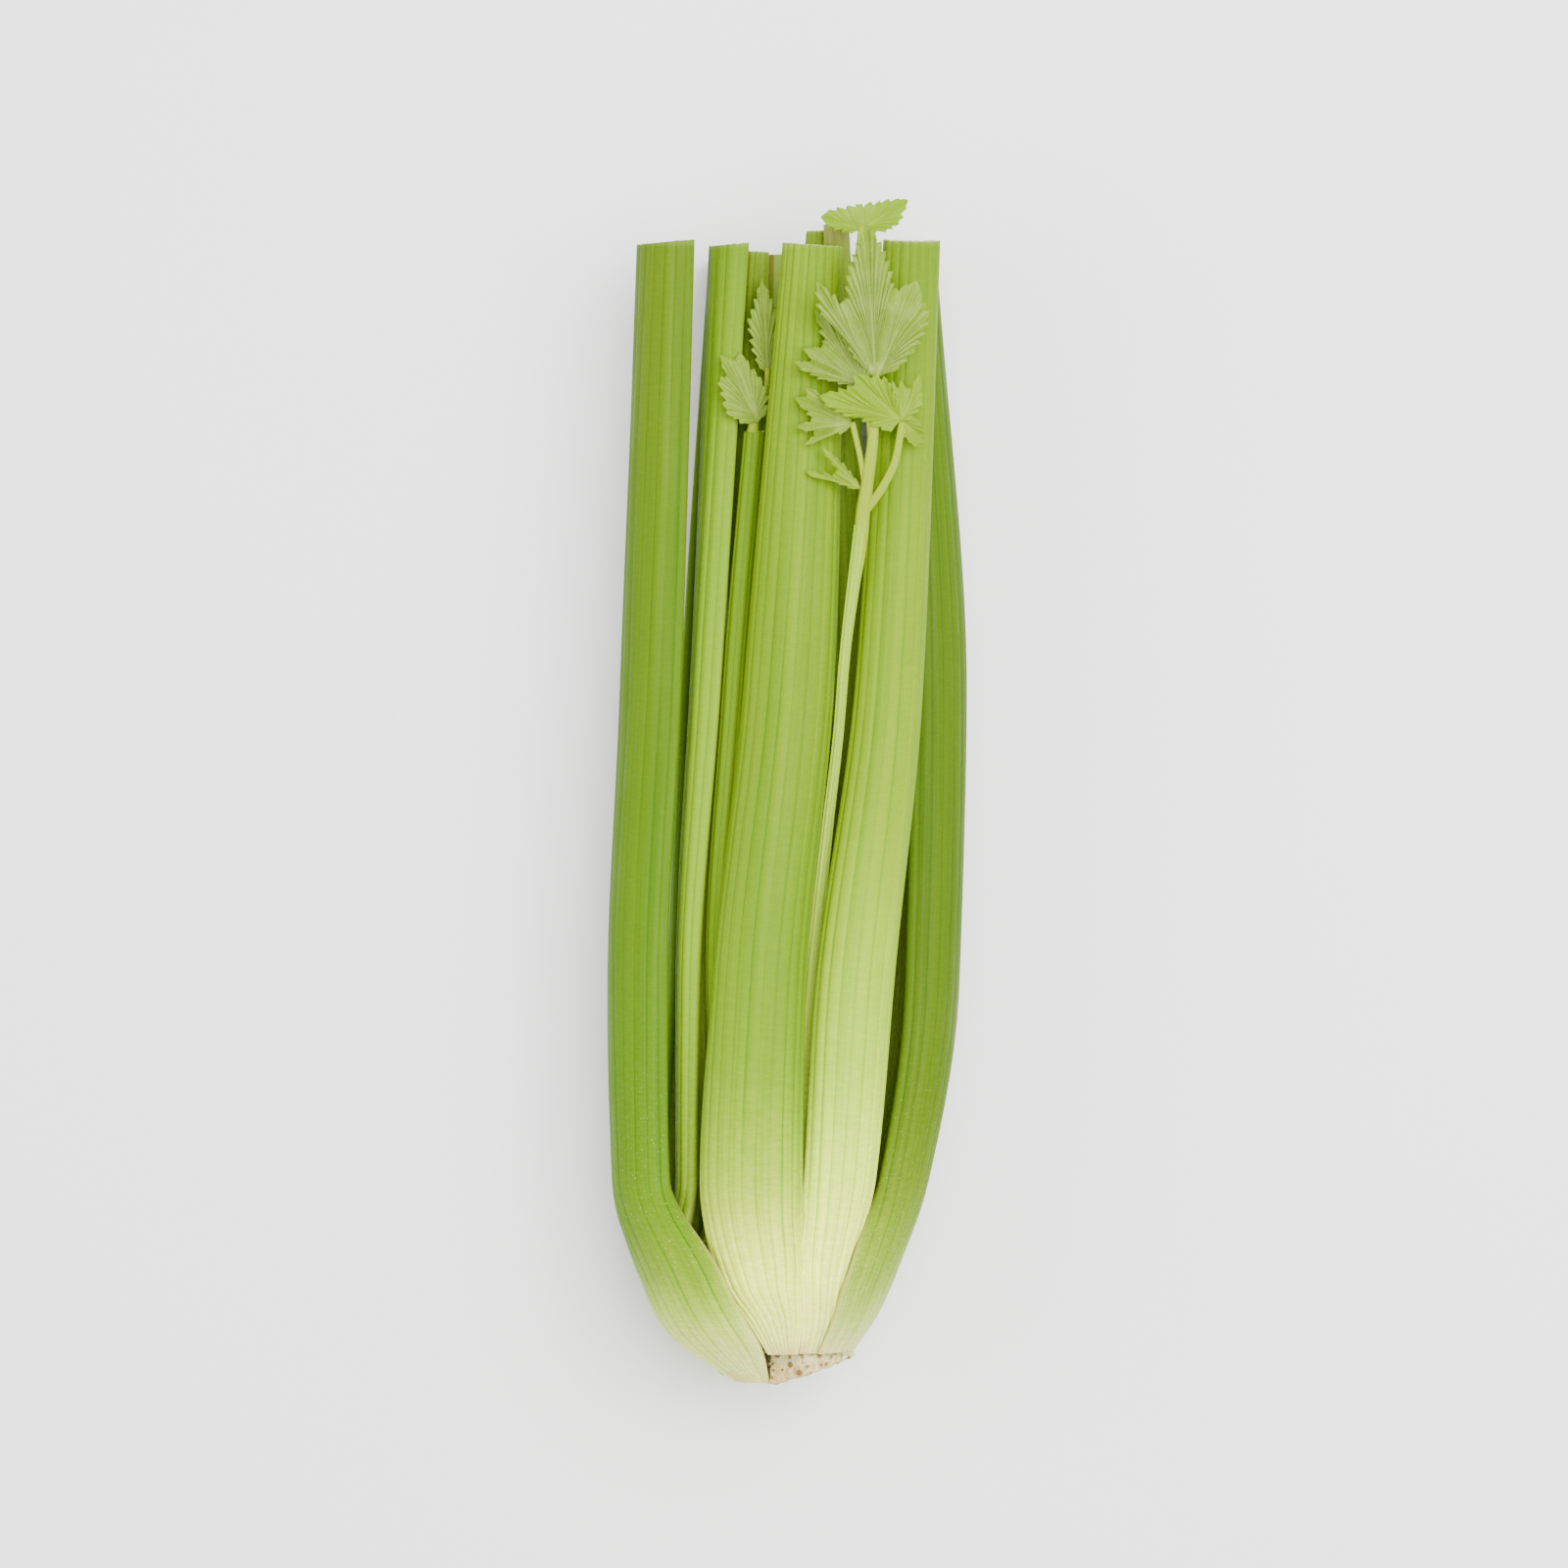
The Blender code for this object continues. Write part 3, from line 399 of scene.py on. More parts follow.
# The lips and the browned rim, as shares of the way to a stalk's edge, the levels between which the rim
# browns, the browned foot, and the string bundles on the cut.
LIP_SHARES = (0.86, 0.97)
RIM_SHARES = (0.955, 1.0)
RIM_LEVELS = (75.0, 30.0)
FOOT_LENGTH = 5.0
FOOT_PATCHES = (0.2, 0.8, 0.25, 0.75)
STRING_DEPTH = 0.17
STRING_WIDTHS = (0.09, 0.20)
# The leaves' veins: widths in millimetres, and how many cells of the net there are for each millimetre.
MIDRIB_WIDTH = 0.10
MIDRIB_TAPER = 0.45
SIDE_VEIN_WIDTHS = (0.04, 0.24)
NET_SCALE = 0.9
NET_WIDTHS = (0.02, 0.14)
# The butt's textures, in spots for each metre.
MOTTLE_SCALE = 420.0
FIBRE_SCALE = 1600.0
HOLE_SCALE = 380.0
HOLE_PATCH_SCALE = 260.0
HOLE_WIDTHS = (0.24, 0.46)

# Linear colours of the layers on the skin, on the cut, on the leaves (young and grown), and on the butt.
RIB_TONES = ((0.90, 0.925, 0.85), (1.11, 1.075, 1.15))
SKIN_COLOURS = {
    # The groove colour darkens the grooves: partly the strings' own darker green, partly painted shade.
    "groove": (0.58, 0.77, 0.22), "fine line": (0.76, 0.88, 0.50), "cloud": (0.88, 0.94, 0.80),
    # The cell and speck layers on the next line are painted highlights: pale dashes and glinting specks
    # across the ribs.
    "cell highlight": (1.24, 1.17, 1.60), "speck glint": (0.90, 0.93, 0.50), "lip": (1.35, 1.22, 1.8),
    "browned edge": (0.50, 0.38, 0.14), "browned foot": (0.66, 0.47, 0.20), "channel": (0.34, 0.44, 0.070),
    "channel cell": (1.2, 1.15, 1.4),
}
EDGE_BROWNING = 0.60
CUT_COLOURS = {
    "flesh": (0.34, 0.46, 0.09), "under the skin": (0.14, 0.25, 0.01), "string": (0.18, 0.27, 0.03),
    "cell": (0.48, 0.56, 0.20), "browned base": (0.62, 0.49, 0.30),
}
LEAF_COLOURS = {
    "blade": ((0.135, 0.222, 0.0005), (0.108, 0.180, 0.005)),
    # The next colours are a painted sheen: pale silvery patches on the blades.
    "sheen patch": ((0.195, 0.290, 0.001), (0.225, 0.285, 0.055)),
    # The rim colour is brighter lime: partly the leaf's own edge colour, partly painted light through the
    # thin teeth.
    "rim": ((0.150, 0.262, 0.0005), (0.140, 0.240, 0.004)),
    "vein": ((0.22, 0.32, 0.002), (0.25, 0.325, 0.060)),
}
LEAF_STEM_COLOUR = (0.225, 0.315, 0.006)
BUTT_COLOURS = {
    "tan": (0.50, 0.34, 0.095), "pale tan": (0.74, 0.60, 0.25), "fibre": (0.86, 0.76, 0.42),
    "inside": (0.70, 0.70, 0.30), "hole": (0.20, 0.090, 0.020), "pit": (0.16, 0.075, 0.02),
}
# Each finish: the strength of its relief, how much light it lets through, and its gloss.
STALK_FINISH = (0.30, 0.10, 0.05)
LEAF_FINISH = (0.35, 0.10, 0.15)
BUTT_FINISH = (0.8, 0.05, 0.20)
STALK_ROUGHNESS = (0.40, 0.54)
LEAF_ROUGHNESS = (0.44, 0.32)
BUTT_ROUGHNESS = (0.70, 0.88)
BUMP_DISTANCE = 0.0004
GLOW_COLOURS = (0.6, 1.0, 0.3)
GLOW_DEPTH = 0.0022


def key_curve(levels, values, y):
    """The monotone cubic through values at levels, at y, and level past the ends. A value may be a tuple."""
    levels = np.asarray(levels, float)
    values = np.asarray(values, float).reshape(len(levels), -1)
    steps = np.diff(levels)[:, None]
    chords = np.diff(values, axis=0) / steps
    slopes = np.zeros_like(values)
    same = chords[:-1] * chords[1:] > 0
    slopes[1:-1][same] = (2 * chords[:-1] * chords[1:])[same] / (chords[:-1] + chords[1:])[same]
    slopes[0] = chords[0]
    slopes[-1] = chords[-1]
    y = float(np.clip(y, levels[0], levels[-1]))
    i = int(np.clip(np.searchsorted(levels, y) - 1, 0, len(levels) - 2))
    span = steps[i, 0]
    t = (y - levels[i]) / span
    found = (2 * t**3 - 3 * t**2 + 1) * values[i] + (t**3 - 2 * t**2 + t) * span * slopes[i]
    found = found + (3 * t**2 - 2 * t**3) * values[i + 1] + (t**3 - t**2) * span * slopes[i + 1]
    return found if len(found) > 1 else float(found[0])


def table_curve(table, y):
    """The monotone cubic through a table of levels with their values, at y."""
    return key_curve([level for level, _ in table], [value for _, value in table], y)


def heading(degrees):
    """The unit vector (x, z) at this many degrees from +X towards +Z."""
    return np.array([math.cos(math.radians(degrees)), math.sin(math.radians(degrees))])


def section_form(stalk, y):
    """Crown point, the way it faces, half width, depth share, half angle and wall of a stalk at level y."""
    start = stalk["start"]
    base_levels = [start, 0.5 * (start + RING_TOP), RING_TOP]
    (theta_low, span_low), (theta_high, span_high) = stalk["base"]
    thetas = [theta_low, 0.5 * (theta_low + theta_high), theta_high]
    spans = [math.radians(s) for s in (span_low, 0.5 * (span_low + span_high), span_high)]
    reaches = [key_curve(RING_LEVELS, RING_RADII, b) - stalk["inset"] for b in base_levels]
    base_radii = [stalk["curl"] * r for r in reaches]
    base_crowns = [np.array([BASE_X, BASE_Z]) + r * heading(t) for r, t in zip(reaches, thetas)]
    keys = stalk["keys"]
    free_levels = [k[0] for k in keys]
    levels = base_levels + free_levels
    crown = key_curve(levels, base_crowns + [(k[1], k[2]) for k in keys], y)
    facing = key_curve(levels, thetas + [k[3] for k in keys], y)
    bend = BEND_SHARE * base_radii[2] + (1 - BEND_SHARE) * stalk["radii"][0]
    radius = key_curve(base_levels + [BEND_LEVEL] + free_levels, base_radii + [bend, *stalk["radii"]], y)
    arcs = [2 * s * r for s, r in zip(spans, base_radii)]
    arcs.append(2 * 0.92 * FREE_HALF_ANGLE * stalk["radii"][0])
    arcs.extend(2 * FREE_HALF_ANGLE * r for r in stalk["radii"][1:])
    angle = min(key_curve(levels, arcs, y) / (2 * radius), 1.1 * FREE_HALF_ANGLE)
    depth = key_curve([0.0, RING_TOP, free_levels[0], 330.0], [1.0, 1.0, FREE_DEPTH, FREE_DEPTH], y)
    wall_base = stalk["base_wall"]
    wall_low, wall_top = stalk["wall"]
    walls = [0.8 * wall_base, wall_base, wall_base, wall_low, 0.95 * wall_low, wall_top]
    wall = key_curve(base_levels + [free_levels[0], free_levels[1], free_levels[-1]], walls, y)
    return crown, facing, radius, depth, angle, wall


def across_shares(ribs):
    """Where the points of a section stand across a stalk, from -1 to 1, closer together near both edges."""
    middle = np.linspace(-1, 1, ribs * RIB_POINTS + 1)[1:-1]
    step = 2 / (ribs * RIB_POINTS)
    close = 1 - step * np.array([0.0, 0.12, 0.35, 0.66])
    return np.concatenate([-close, middle, close[::-1]])


def rib_relief(place):
    """Height from 0 in a groove to 1 on a rib, at this place counted in ribs: broad backs, narrow grooves."""
    wobble = place + 0.06 * np.sin(2.1 * place + 0.8) * np.sin(np.pi * place) ** 2
    broad = np.abs(np.sin(np.pi * wobble)) ** 0.8
    fine = np.abs(np.sin(3 * np.pi * wobble))
    return 0.90 * broad + 0.10 * fine


def fine_section(name, y):
    """The closed crescent outline at level y: the ribbed outside from edge to edge, then the inside back."""
    stalk = STALKS[name]
    crown, facing, radius, depth, angle, wall = section_form(stalk, y)
    angle *= 1 + BASE_SPREADS.get(name, 0.0) * table_curve(SPREAD_SHARES, y)
    normal = heading(facing)
    across = heading(facing + 90)
    centre = crown - radius * depth * normal
    share = across_shares(stalk["ribs"])
    thinning = table_curve(EDGE_THINNING, y)
    wall_here = wall * (1 - thinning * np.abs(share) ** 3)
    lip = 0.5 * wall * (1 - thinning) / max(radius * angle, 1.0)
    over = np.clip((np.abs(share) - (1 - lip)) / lip, 0, 1)
    roundness = np.sqrt(np.maximum(1 - over**2, 0))
    place = (share * 0.5 + 0.5) * stalk["ribs"]
    groove = RIB_HEIGHT * (1 - rib_relief(place))
    circle = 2 * np.pi * place
    inner_wave = sum(height * np.sin(circle * turns + shift) for height, turns, shift in CHANNEL_WAVES)
    middle = radius - 0.5 * wall_here
    outside_radius = middle + (0.5 * wall_here - groove) * roundness
    inside_radius = np.maximum(middle - (0.5 * wall_here + inner_wave) * roundness, LEAST_INSIDE * radius)
    turn = share * angle * ARC_SHARE
    across_part = np.sin(turn)[:, None] * across
    normal_part = np.cos(turn)[:, None] * normal
    outside = centre + outside_radius[:, None] * (across_part + depth * normal_part)
    inside_depth = np.maximum(radius * depth - (radius - inside_radius), LEAST_DEPTH * radius)
    inside = centre + inside_radius[:, None] * across_part + inside_depth[:, None] * normal_part
    inside[0] = outside[0]
    inside[-1] = outside[-1]
    return np.vstack([outside, inside[-2:0:-1]])


def nearest_on(outline, points):
    """For each point: the nearest place on the outline, the distance, and whether the point is inside."""
    start = outline
    end = np.roll(outline, -1, axis=0)
    edge = end - start
    offset = points[:, None, :] - start[None]
    t = (offset * edge[None]).sum(2) / np.maximum((edge**2).sum(1), 1e-9)[None]
    near = start[None] + np.clip(t, 0, 1)[:, :, None] * edge[None]
    distance = np.linalg.norm(points[:, None, :] - near, axis=2)
    pick = distance.argmin(1)
    rows = np.arange(len(points))
    above = (start[None, :, 1] > points[:, None, 1]) != (end[None, :, 1] > points[:, None, 1])
    rise = np.where(np.abs(edge[:, 1]) < 1e-9, 1e-9, edge[:, 1])
    crossing = start[None, :, 0] + (points[:, None, 1] - start[None, :, 1]) * edge[None, :, 0] / rise[None]
    inside = ((above & (points[:, None, 0] < crossing)).sum(1) % 2) == 1
    return near[rows, pick], distance[rows, pick], inside


def pressed(outline, others, gap):
    """The outline with each point that comes within the gap of another outline moved off it."""
    outline = outline.copy()
    for _ in range(3):
        for other in others:
            low = other.min(axis=0) - gap
            high = other.max(axis=0) + gap
            reached = np.nonzero(((outline > low) & (outline < high)).all(axis=1))[0]
            if not len(reached):
                continue
            near, distance, inside = nearest_on(other, outline[reached])
            signed = np.where(inside, -distance, distance)
            away = (outline[reached] - near) * np.where(inside, -1.0, 1.0)[:, None]
            away = away / np.maximum(distance, 1e-6)[:, None]
            close = signed < gap
            outline[reached[close]] = near[close] + gap * away[close]
    return outline


def fine_levels(stalk):
    """The levels of a stalk's sections, close together over the rounded base and below the cut."""
    start = stalk["start"]
    top = stalk["keys"][-1][0]
    low = [y for y in np.arange(0.0, LOW_TOP, LOW_STEP) if y > start + 0.6]
    high = [y for y in np.arange(LOW_TOP, top, HIGH_STEP) if y < top - 16]
    return [start, start + 0.5] + low + high + [top - depth for depth in TOP_DEPTHS]


def all_sections():
    """Each stalk's levels and outlines, kept off its neighbours and the floor, and all outlines by level."""
    cache = {}
    rows = {name: [] for name in PRESS_ORDER}
    wanted = {name: fine_levels(stalk) for name, stalk in STALKS.items()}
    for y in sorted({y for levels in wanted.values() for y in levels}):
        found = {}
        gap = table_curve(STALK_GAPS, y)
        for name in PRESS_ORDER:
            stalk = STALKS[name]
            if stalk["start"] <= y + 1e-6 and y <= stalk["keys"][-1][0] + 1e-6:
                outline = pressed(fine_section(name, y), list(found.values()), gap)
                outline[:, 1] = np.maximum(outline[:, 1], 0.0)
                found[name] = outline
                if y in wanted[name]:
                    rows[name].append((y, outline))
        cache[y] = found
    return rows, cache


def new_object(name, data):
    """A new object in the scene."""
    made = bpy.data.objects.new(name, data)
    bpy.context.scene.collection.objects.link(made)
    return made


def new_piece(name, points, faces, attributes, node, material):
    """A smooth mesh piece from millimetre points, with point attributes, that stands for a node."""
    mesh = bpy.data.meshes.new(name)
    mesh.from_pydata(((np.asarray(points) + SHIFT) * MM).tolist(), [], faces)
    for key, values in attributes.items():
        made = mesh.attributes.new(key, "FLOAT", "POINT")
        made.data.foreach_set("value", np.asarray(values, np.float32))
    mesh.materials.append(material)
    mesh.polygons.foreach_set("use_smooth", [True] * len(mesh.polygons))
    mesh.validate()
    piece = new_object(name, mesh)
    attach(piece, "root")
    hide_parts(node)
    return piece


def ring_faces(start, rings, count, closed=True, turned=False):
    """The quads between rings, or open rows, of this many points each, one after another from the start."""
    faces = []
    for row in range(rings - 1):
        for k in range(count if closed else count - 1):
            a = start + row * count + k
            b = start + row * count + (k + 1) % count
            faces.append((a, b, b + count, a + count) if turned else (a, a + count, b + count, b))
    return faces


def outward(points, faces):
    """The faces, all turned round if they enclose a negative volume."""
    points = np.asarray(points, float)
    volume = 0.0
    for face in faces:
        for k in range(1, len(face) - 1):
            volume += float(np.dot(points[face[0]], np.cross(points[face[k]], points[face[k + 1]])))
    return faces if volume > 0 else [tuple(reversed(face)) for face in faces]


def cut_level(name, x, z, crown, phase):
    """How far the knife's cut stands past the top's level at (x, z): a slope, and a slightly torn surface."""
    right, back = CUT_SLOPES.get(name, PLAIN_CUT_SLOPE)
    flat = right * (x - crown[0]) + back * np.maximum(crown[1] - z, -2.0)
    flat = np.clip(flat, -1.6, 2.4)
    torn = 0.16 * np.sin(2.3 * x + phase) * np.sin(1.9 * z + 2 * phase)
    return flat + torn


def stalk_piece(name, rows):
    """One stalk as a fine loft, closed by a cut face at the top and a flat foot at the base."""
    stalk = STALKS[name]
    phase = 0.7 * PRESS_ORDER.index(name)
    top = stalk["keys"][-1][0]
    crown = section_form(stalk, top)[0]
    count = len(rows[0][1])
    half = (count + 2) // 2
    share = across_shares(stalk["ribs"])
    place = (share * 0.5 + 0.5) * stalk["ribs"]
    inner = np.concatenate([np.zeros(half), np.ones(half - 2)])
    edge = np.abs(np.concatenate([share, share[-2:0:-1]]))
    across = np.concatenate([place, place[-2:0:-1]])
    ring = dict(across=across, edge=edge, inner=inner, cut=np.zeros(count), depth=inner)
    attributes = {key: [np.tile(values, len(rows))] for key, values in ring.items()}
    attributes["along"] = []
    blocks = []
    for y, outline in rows:
        x = outline[:, 0] + 0.12 * np.sin(0.05 * y + across + phase) * (1 - edge)
        lift = float(np.clip((y - (top - CUT_BLEND)) / CUT_BLEND, 0, 1)) ** 2
        levels = y + lift * cut_level(name, x, outline[:, 1], crown, phase)
        blocks.append(np.column_stack([x, levels, outline[:, 1]]))
        attributes["along"].append(levels)
    faces = ring_faces(0, len(rows), count)
    for block, is_top in ((blocks[0], False), (blocks[-1], True)):
        outer = block[:half]
        inside = np.vstack([outer[:1], block[half:][::-1], outer[-1:]])
        start = sum(len(b) for b in blocks)
        for row in range(CUT_ROWS + 1):
            share_in = row / CUT_ROWS
            line = outer * (1 - share_in) + inside * share_in
            if is_top:
                line[:, 1] = top + cut_level(name, line[:, 0], line[:, 2], crown, phase)
                grain = np.sin(3.1 * line[:, 0] + 1.7 * line[:, 2])
                line[:, 1] += 0.12 * math.sin(math.pi * share_in) * grain
            blocks.append(line)
            cap = dict(across=place, edge=np.abs(share), inner=np.zeros(half), along=line[:, 1])
            cap["cut"] = np.full(half, 1.0 if is_top else 0.5)
            cap["depth"] = np.full(half, share_in)
            for key, values in cap.items():
                attributes[key].append(values)
        cap_faces = ring_faces(start, CUT_ROWS + 1, half, closed=False)
        faces += cap_faces if is_top else [tuple(reversed(face)) for face in cap_faces]
    points = np.vstack(blocks)
    attributes = {key: np.concatenate(values) for key, values in attributes.items()}
    return new_piece(name + "_ribbed", points, faces, attributes, name, stalk_material(name))


def butt_outline(middle, stalk_outlines, reach):
    """Points (x, z) round the middle: out to the ragged reach, or to the nearest stalk base on the way."""
    middle = np.array(middle)
    turns = 2 * math.pi * np.arange(BUTT_POINTS) / BUTT_POINTS
    ragged = reach * (1 + 0.05 * np.sin(5 * turns + 1.0) + 0.03 * np.sin(9 * turns))
    steps = np.arange(2.0, reach * 1.1, 0.2)
    rays = np.column_stack([np.cos(turns), np.sin(turns)])
    trail = (middle + steps[None, :, None] * rays[:, None, :]).reshape(-1, 2)
    blocked = np.zeros(len(trail), bool)
    for other in stalk_outlines:
        low = other.min(axis=0) - BUTT_GAP
        high = other.max(axis=0) + BUTT_GAP
        reached = np.nonzero(((trail > low) & (trail < high)).all(axis=1))[0]
        if len(reached):
            _, distance, inside = nearest_on(other, trail[reached])
            blocked[reached] |= inside | (distance < BUTT_GAP)
    blocked = blocked.reshape(BUTT_POINTS, len(steps))
    first = np.where(blocked.any(axis=1), blocked.argmax(axis=1) - 1, len(steps) - 1)
    r = np.minimum(steps[np.maximum(first, 0)], ragged)
    r = 0.25 * np.roll(r, 1) + 0.5 * r + 0.25 * np.roll(r, -1)
    return middle + np.minimum(r, ragged)[:, None] * rays


def bases_between(cache, low, high):
    """The outlines at each level from low to high, of the stalks that start below the high one."""
    found = []
    for y, sections in cache.items():
        if low <= y <= high:
            found += [outline for name, outline in sections.items() if STALKS[name]["start"] < high]
    return found


def butt_piece(cache):
    """The cut root plate: a rough face, a ridged wall with root stubs, and its neck inside the stalks."""
    rng = random.Random(5)
    middle = np.array(BUTT_MIDDLE)
    plate = butt_outline(BUTT_MIDDLE, bases_between(cache, 0.0, BUTT_NECK_LEVEL), BUTT_REACH)
    turns = 2 * math.pi * np.arange(BUTT_POINTS) / BUTT_POINTS
    pits = [
        (rng.uniform(0, 2 * math.pi), rng.uniform(0.15, 0.95), rng.uniform(0.4, 0.9))
        for _ in range(BUTT_PITS)
    ]

    def face_row(share):
        flat = middle + share * (plate - middle)
        level = BUTT_SLOPE * np.maximum(flat[:, 0] - BUTT_SLOPE_X, 0.0)
        level = level + 0.35 * np.sin(1.1 * flat[:, 0] + 2) * np.sin(0.9 * flat[:, 1]) + 0.35
        bumps = 0.18 * np.sin(4.3 * flat[:, 0]) * np.sin(3.7 * flat[:, 1] + 1)
        level += bumps + 0.25 * np.sin(9 * share) ** 2
        depth = np.zeros(len(flat))
        for turn, out, size in pits:
            spot = middle + out * 12.0 * np.array([math.cos(turn), math.sin(turn)])
            far = np.linalg.norm(flat - spot, axis=1)
            depth = np.maximum(depth, np.exp(-(far / size) ** 2))
        edge = np.clip((share - 0.88) / 0.12, 0, 1) ** 2
        return np.column_stack([flat[:, 0], level + 0.9 * depth + 0.6 * edge, flat[:, 1]]), depth

    rows = []
    marks = []
    for share in FACE_SHARES:
        points, depth = face_row(share)
        rows.append(points)
        marks.append(depth)
    rim_level = rows[-1][:, 1]
    for share in WALL_SHARES:
        level = rim_level + share * (BUTT_NECK_LEVEL - 0.3 - rim_level)
        fade = math.sin(math.pi * min(share * 1.6, 1.0))
        ridges = 0.28 * np.sin(31 * turns + 0.5 * np.sin(5 * turns)) * fade
        knobs = 0.22 * np.sin(19 * turns + 7 * share) * np.sin(13 * share + 3 * turns)
        wall = middle + (plate - middle) * (1 + (np.minimum(ridges + knobs, 0.35) / BUTT_REACH))[:, None]
        rows.append(np.column_stack([wall[:, 0], level, wall[:, 1]]))
        marks.append(np.clip(-ridges * 2.2, 0, 1) * (1 - share))
    for low, high in NECK_LEVELS:
        neck = butt_outline(BUTT_NECK_MIDDLE, bases_between(cache, low, high), BUTT_REACH)
        for level in (low - 0.1, high - 0.6):
            rows.append(np.column_stack([neck[:, 0], np.full(len(neck), level), neck[:, 1]]))
            marks.append(np.zeros(len(neck)))
    points = [p for row in rows for p in row]
    faces = ring_faces(0, len(rows), BUTT_POINTS, turned=True)
    faces.append(tuple(reversed(range(BUTT_POINTS))))
    faces.append(tuple(range(len(points) - BUTT_POINTS, len(points))))
    pit = list(np.concatenate(marks))
    stub = [0.0] * len(points)
    for _ in range(ROOT_STUBS):
        k = rng.randrange(BUTT_POINTS)
        out = plate[k] - middle
        reach = np.linalg.norm(out)
        out = np.array([out[0] / reach, 0.0, out[1] / reach])
        level = rim_level[k] + rng.uniform(0.6, 6.0)
        place = np.array([plate[k][0], level, plate[k][1]]) - 0.7 * out
        add_stub(points, faces, pit, stub, place, out, rng)
    faces = outward(points, faces)
    attributes = dict(pit=pit, stub=stub, along=[p[1] for p in points])
    return new_piece("butt_rough_cut", points, faces, attributes, "butt", butt_material())


def add_stub(points, faces, pit, stub, place, out, rng):
    """Adds a short broken rootlet: a bent ring stack that ends in a dark, hollow tip."""
    radius = rng.uniform(0.32, 0.62)
    length = rng.uniform(0.9, 1.5)
    up = np.array([0.0, 1.0, 0.0])
    side = np.cross(out, up)
    lean = rng.uniform(-0.3, 0.3) * up + rng.uniform(-0.25, 0.25) * side
    start = len(points)
    for reach, wide, dark in STUB_RINGS:
        middle = place + length * reach * (out + lean * reach)
        for j in range(STUB_SIDES):
            turn = 2 * math.pi * j / STUB_SIDES
            ring = radius * wide * (1 + 0.12 * math.sin(3 * turn + radius * 40))
            points.append(middle + ring * (math.cos(turn) * up + math.sin(turn) * side))
            pit.append(dark)
            stub.append(1.0)
    faces += ring_faces(start, len(STUB_RINGS), STUB_SIDES)
    faces.append(tuple(range(start, start + STUB_SIDES)))
    faces.append(tuple(reversed(range(len(points) - STUB_SIDES, len(points)))))


def smooth_path(path, step):
    """Points (x, y, z, radius) about this far apart on a smooth curve through the path's points."""
    path = np.array(path, float)
    reach = np.concatenate([[0], np.cumsum(np.linalg.norm(np.diff(path[:, :3], axis=0), axis=1))])
    count = max(int(reach[-1] / step), 4)
    return np.array([key_curve(reach, path, y) for y in np.linspace(0, reach[-1], count)])


def petiole_mesh(path, sides):
    """A ribbed, slightly hollowed leaf stem along the path, with capped ends."""
    fine = smooth_path(path, PETIOLE_STEP)
    points = []
    for k, p in enumerate(fine):
        before = fine[max(k - 1, 0)][:3]
        after = fine[min(k + 1, len(fine) - 1)][:3]
        along = (after - before) / np.linalg.norm(after - before)
        side = np.cross(along, (0.0, 0.0, 1.0))
        side = side / np.linalg.norm(side)
        up = np.cross(side, along)
        for j in range(sides):
            turn = 2 * math.pi * j / sides
            ring = p[3] * (1 + 0.07 * math.sin(6 * turn) - 0.22 * max(math.sin(turn), 0) ** 6)
            points.append(p[:3] + ring * (math.cos(turn) * side + math.sin(turn) * up))
    faces = ring_faces(0, len(fine), sides, turned=True)
    faces.append(tuple(reversed(range(sides))))
    faces.append(tuple(range(len(points) - sides, len(points))))
    return points, outward(points, faces)


def blade_edge(shape, length, rng):
    """Points round the toothed edge: along the lobe, across it, the lobe's turn, and teeth from its tip."""
    turns = np.radians([degrees for degrees, _ in shape])
    reaches = length * np.array([reach for _, reach in shape])
    corners = reaches[:, None] * np.column_stack([np.cos(turns), np.sin(turns)])
    sides = np.diff(corners, axis=0)
    widths = np.linalg.norm(sides, axis=1)
    run = np.concatenate([[0.0], np.cumsum(widths)])
    tips = [k for k in range(1, len(shape) - 1) if reaches[k] > max(reaches[k - 1], reaches[k + 1])]
    notches = [min(range(a, b), key=lambda k: reaches[k]) for a, b in zip(tips, tips[1:])]
    sizes = [1.0 + 0.5 * (rng.random() - 0.5) for _ in range(200)]
    tooth_length = TOOTH_LENGTH * (0.7 + 0.3 * min(1.0, length / LONG_BLADE))
    edge = []
    steepest = {}
    for place in np.arange(0.0, run[-1], EDGE_STEP):
        k = int(np.clip(np.searchsorted(run, place, side="right") - 1, 0, len(run) - 2))
        share = (place - run[k]) / widths[k]
        inward = np.array([-sides[k][1], sides[k][0]]) / widths[k]
        tip = tips[sum(place > run[notch] for notch in notches)]
        away = abs(place - run[tip]) / tooth_length
        tooth = int(away)
        size = sizes[(7 * tip + tooth + (3 if place > run[tip] else 0)) % len(sizes)]
        beside_base = min(place, run[-1] - place) / (0.15 * length)
        depth = TOOTH_DEPTH * size * (away - tooth) ** 1.2 + 0.25 * ((2.4 * away) % 1.0)
        depth *= 0.4 if tooth == 0 else 1.0
        depth *= min(1.0, beside_base) * (0.4 + 0.6 * min(1.0, length / LONG_BLADE))
        bulge = 0.05 * widths[k] * math.sin(math.pi * share)
        x, s = corners[k] + share * sides[k] + (depth - bulge) * inward
        lobe_x = max(x * math.cos(turns[tip]) + s * math.sin(turns[tip]), 0.06 * length)
        lobe_s = s * math.cos(turns[tip]) - x * math.sin(turns[tip])
        steep = max(lobe_s / lobe_x**VEIN_BEND, steepest.get(tip, -1e9) + 1e-5)
        steepest[tip] = steep
        edge.append((lobe_x, steep * lobe_x**VEIN_BEND, turns[tip], away))
    return edge


def blade_axes(base, tip, roll):
    """The directions along a blade, across it and up from it, rolled about its length, and that length."""
    along = np.array(tip) - base
    length = float(np.linalg.norm(along))
    along = along / length
    up = np.array([0.0, 0.0, 1.0])
    up = up - np.dot(up, along) * along
    up = up / np.linalg.norm(up)
    side = np.cross(along, up)
    roll = math.radians(roll)
    up, side = math.cos(roll) * up + math.sin(roll) * side, math.cos(roll) * side - math.sin(roll) * up
    return along, side, up, length


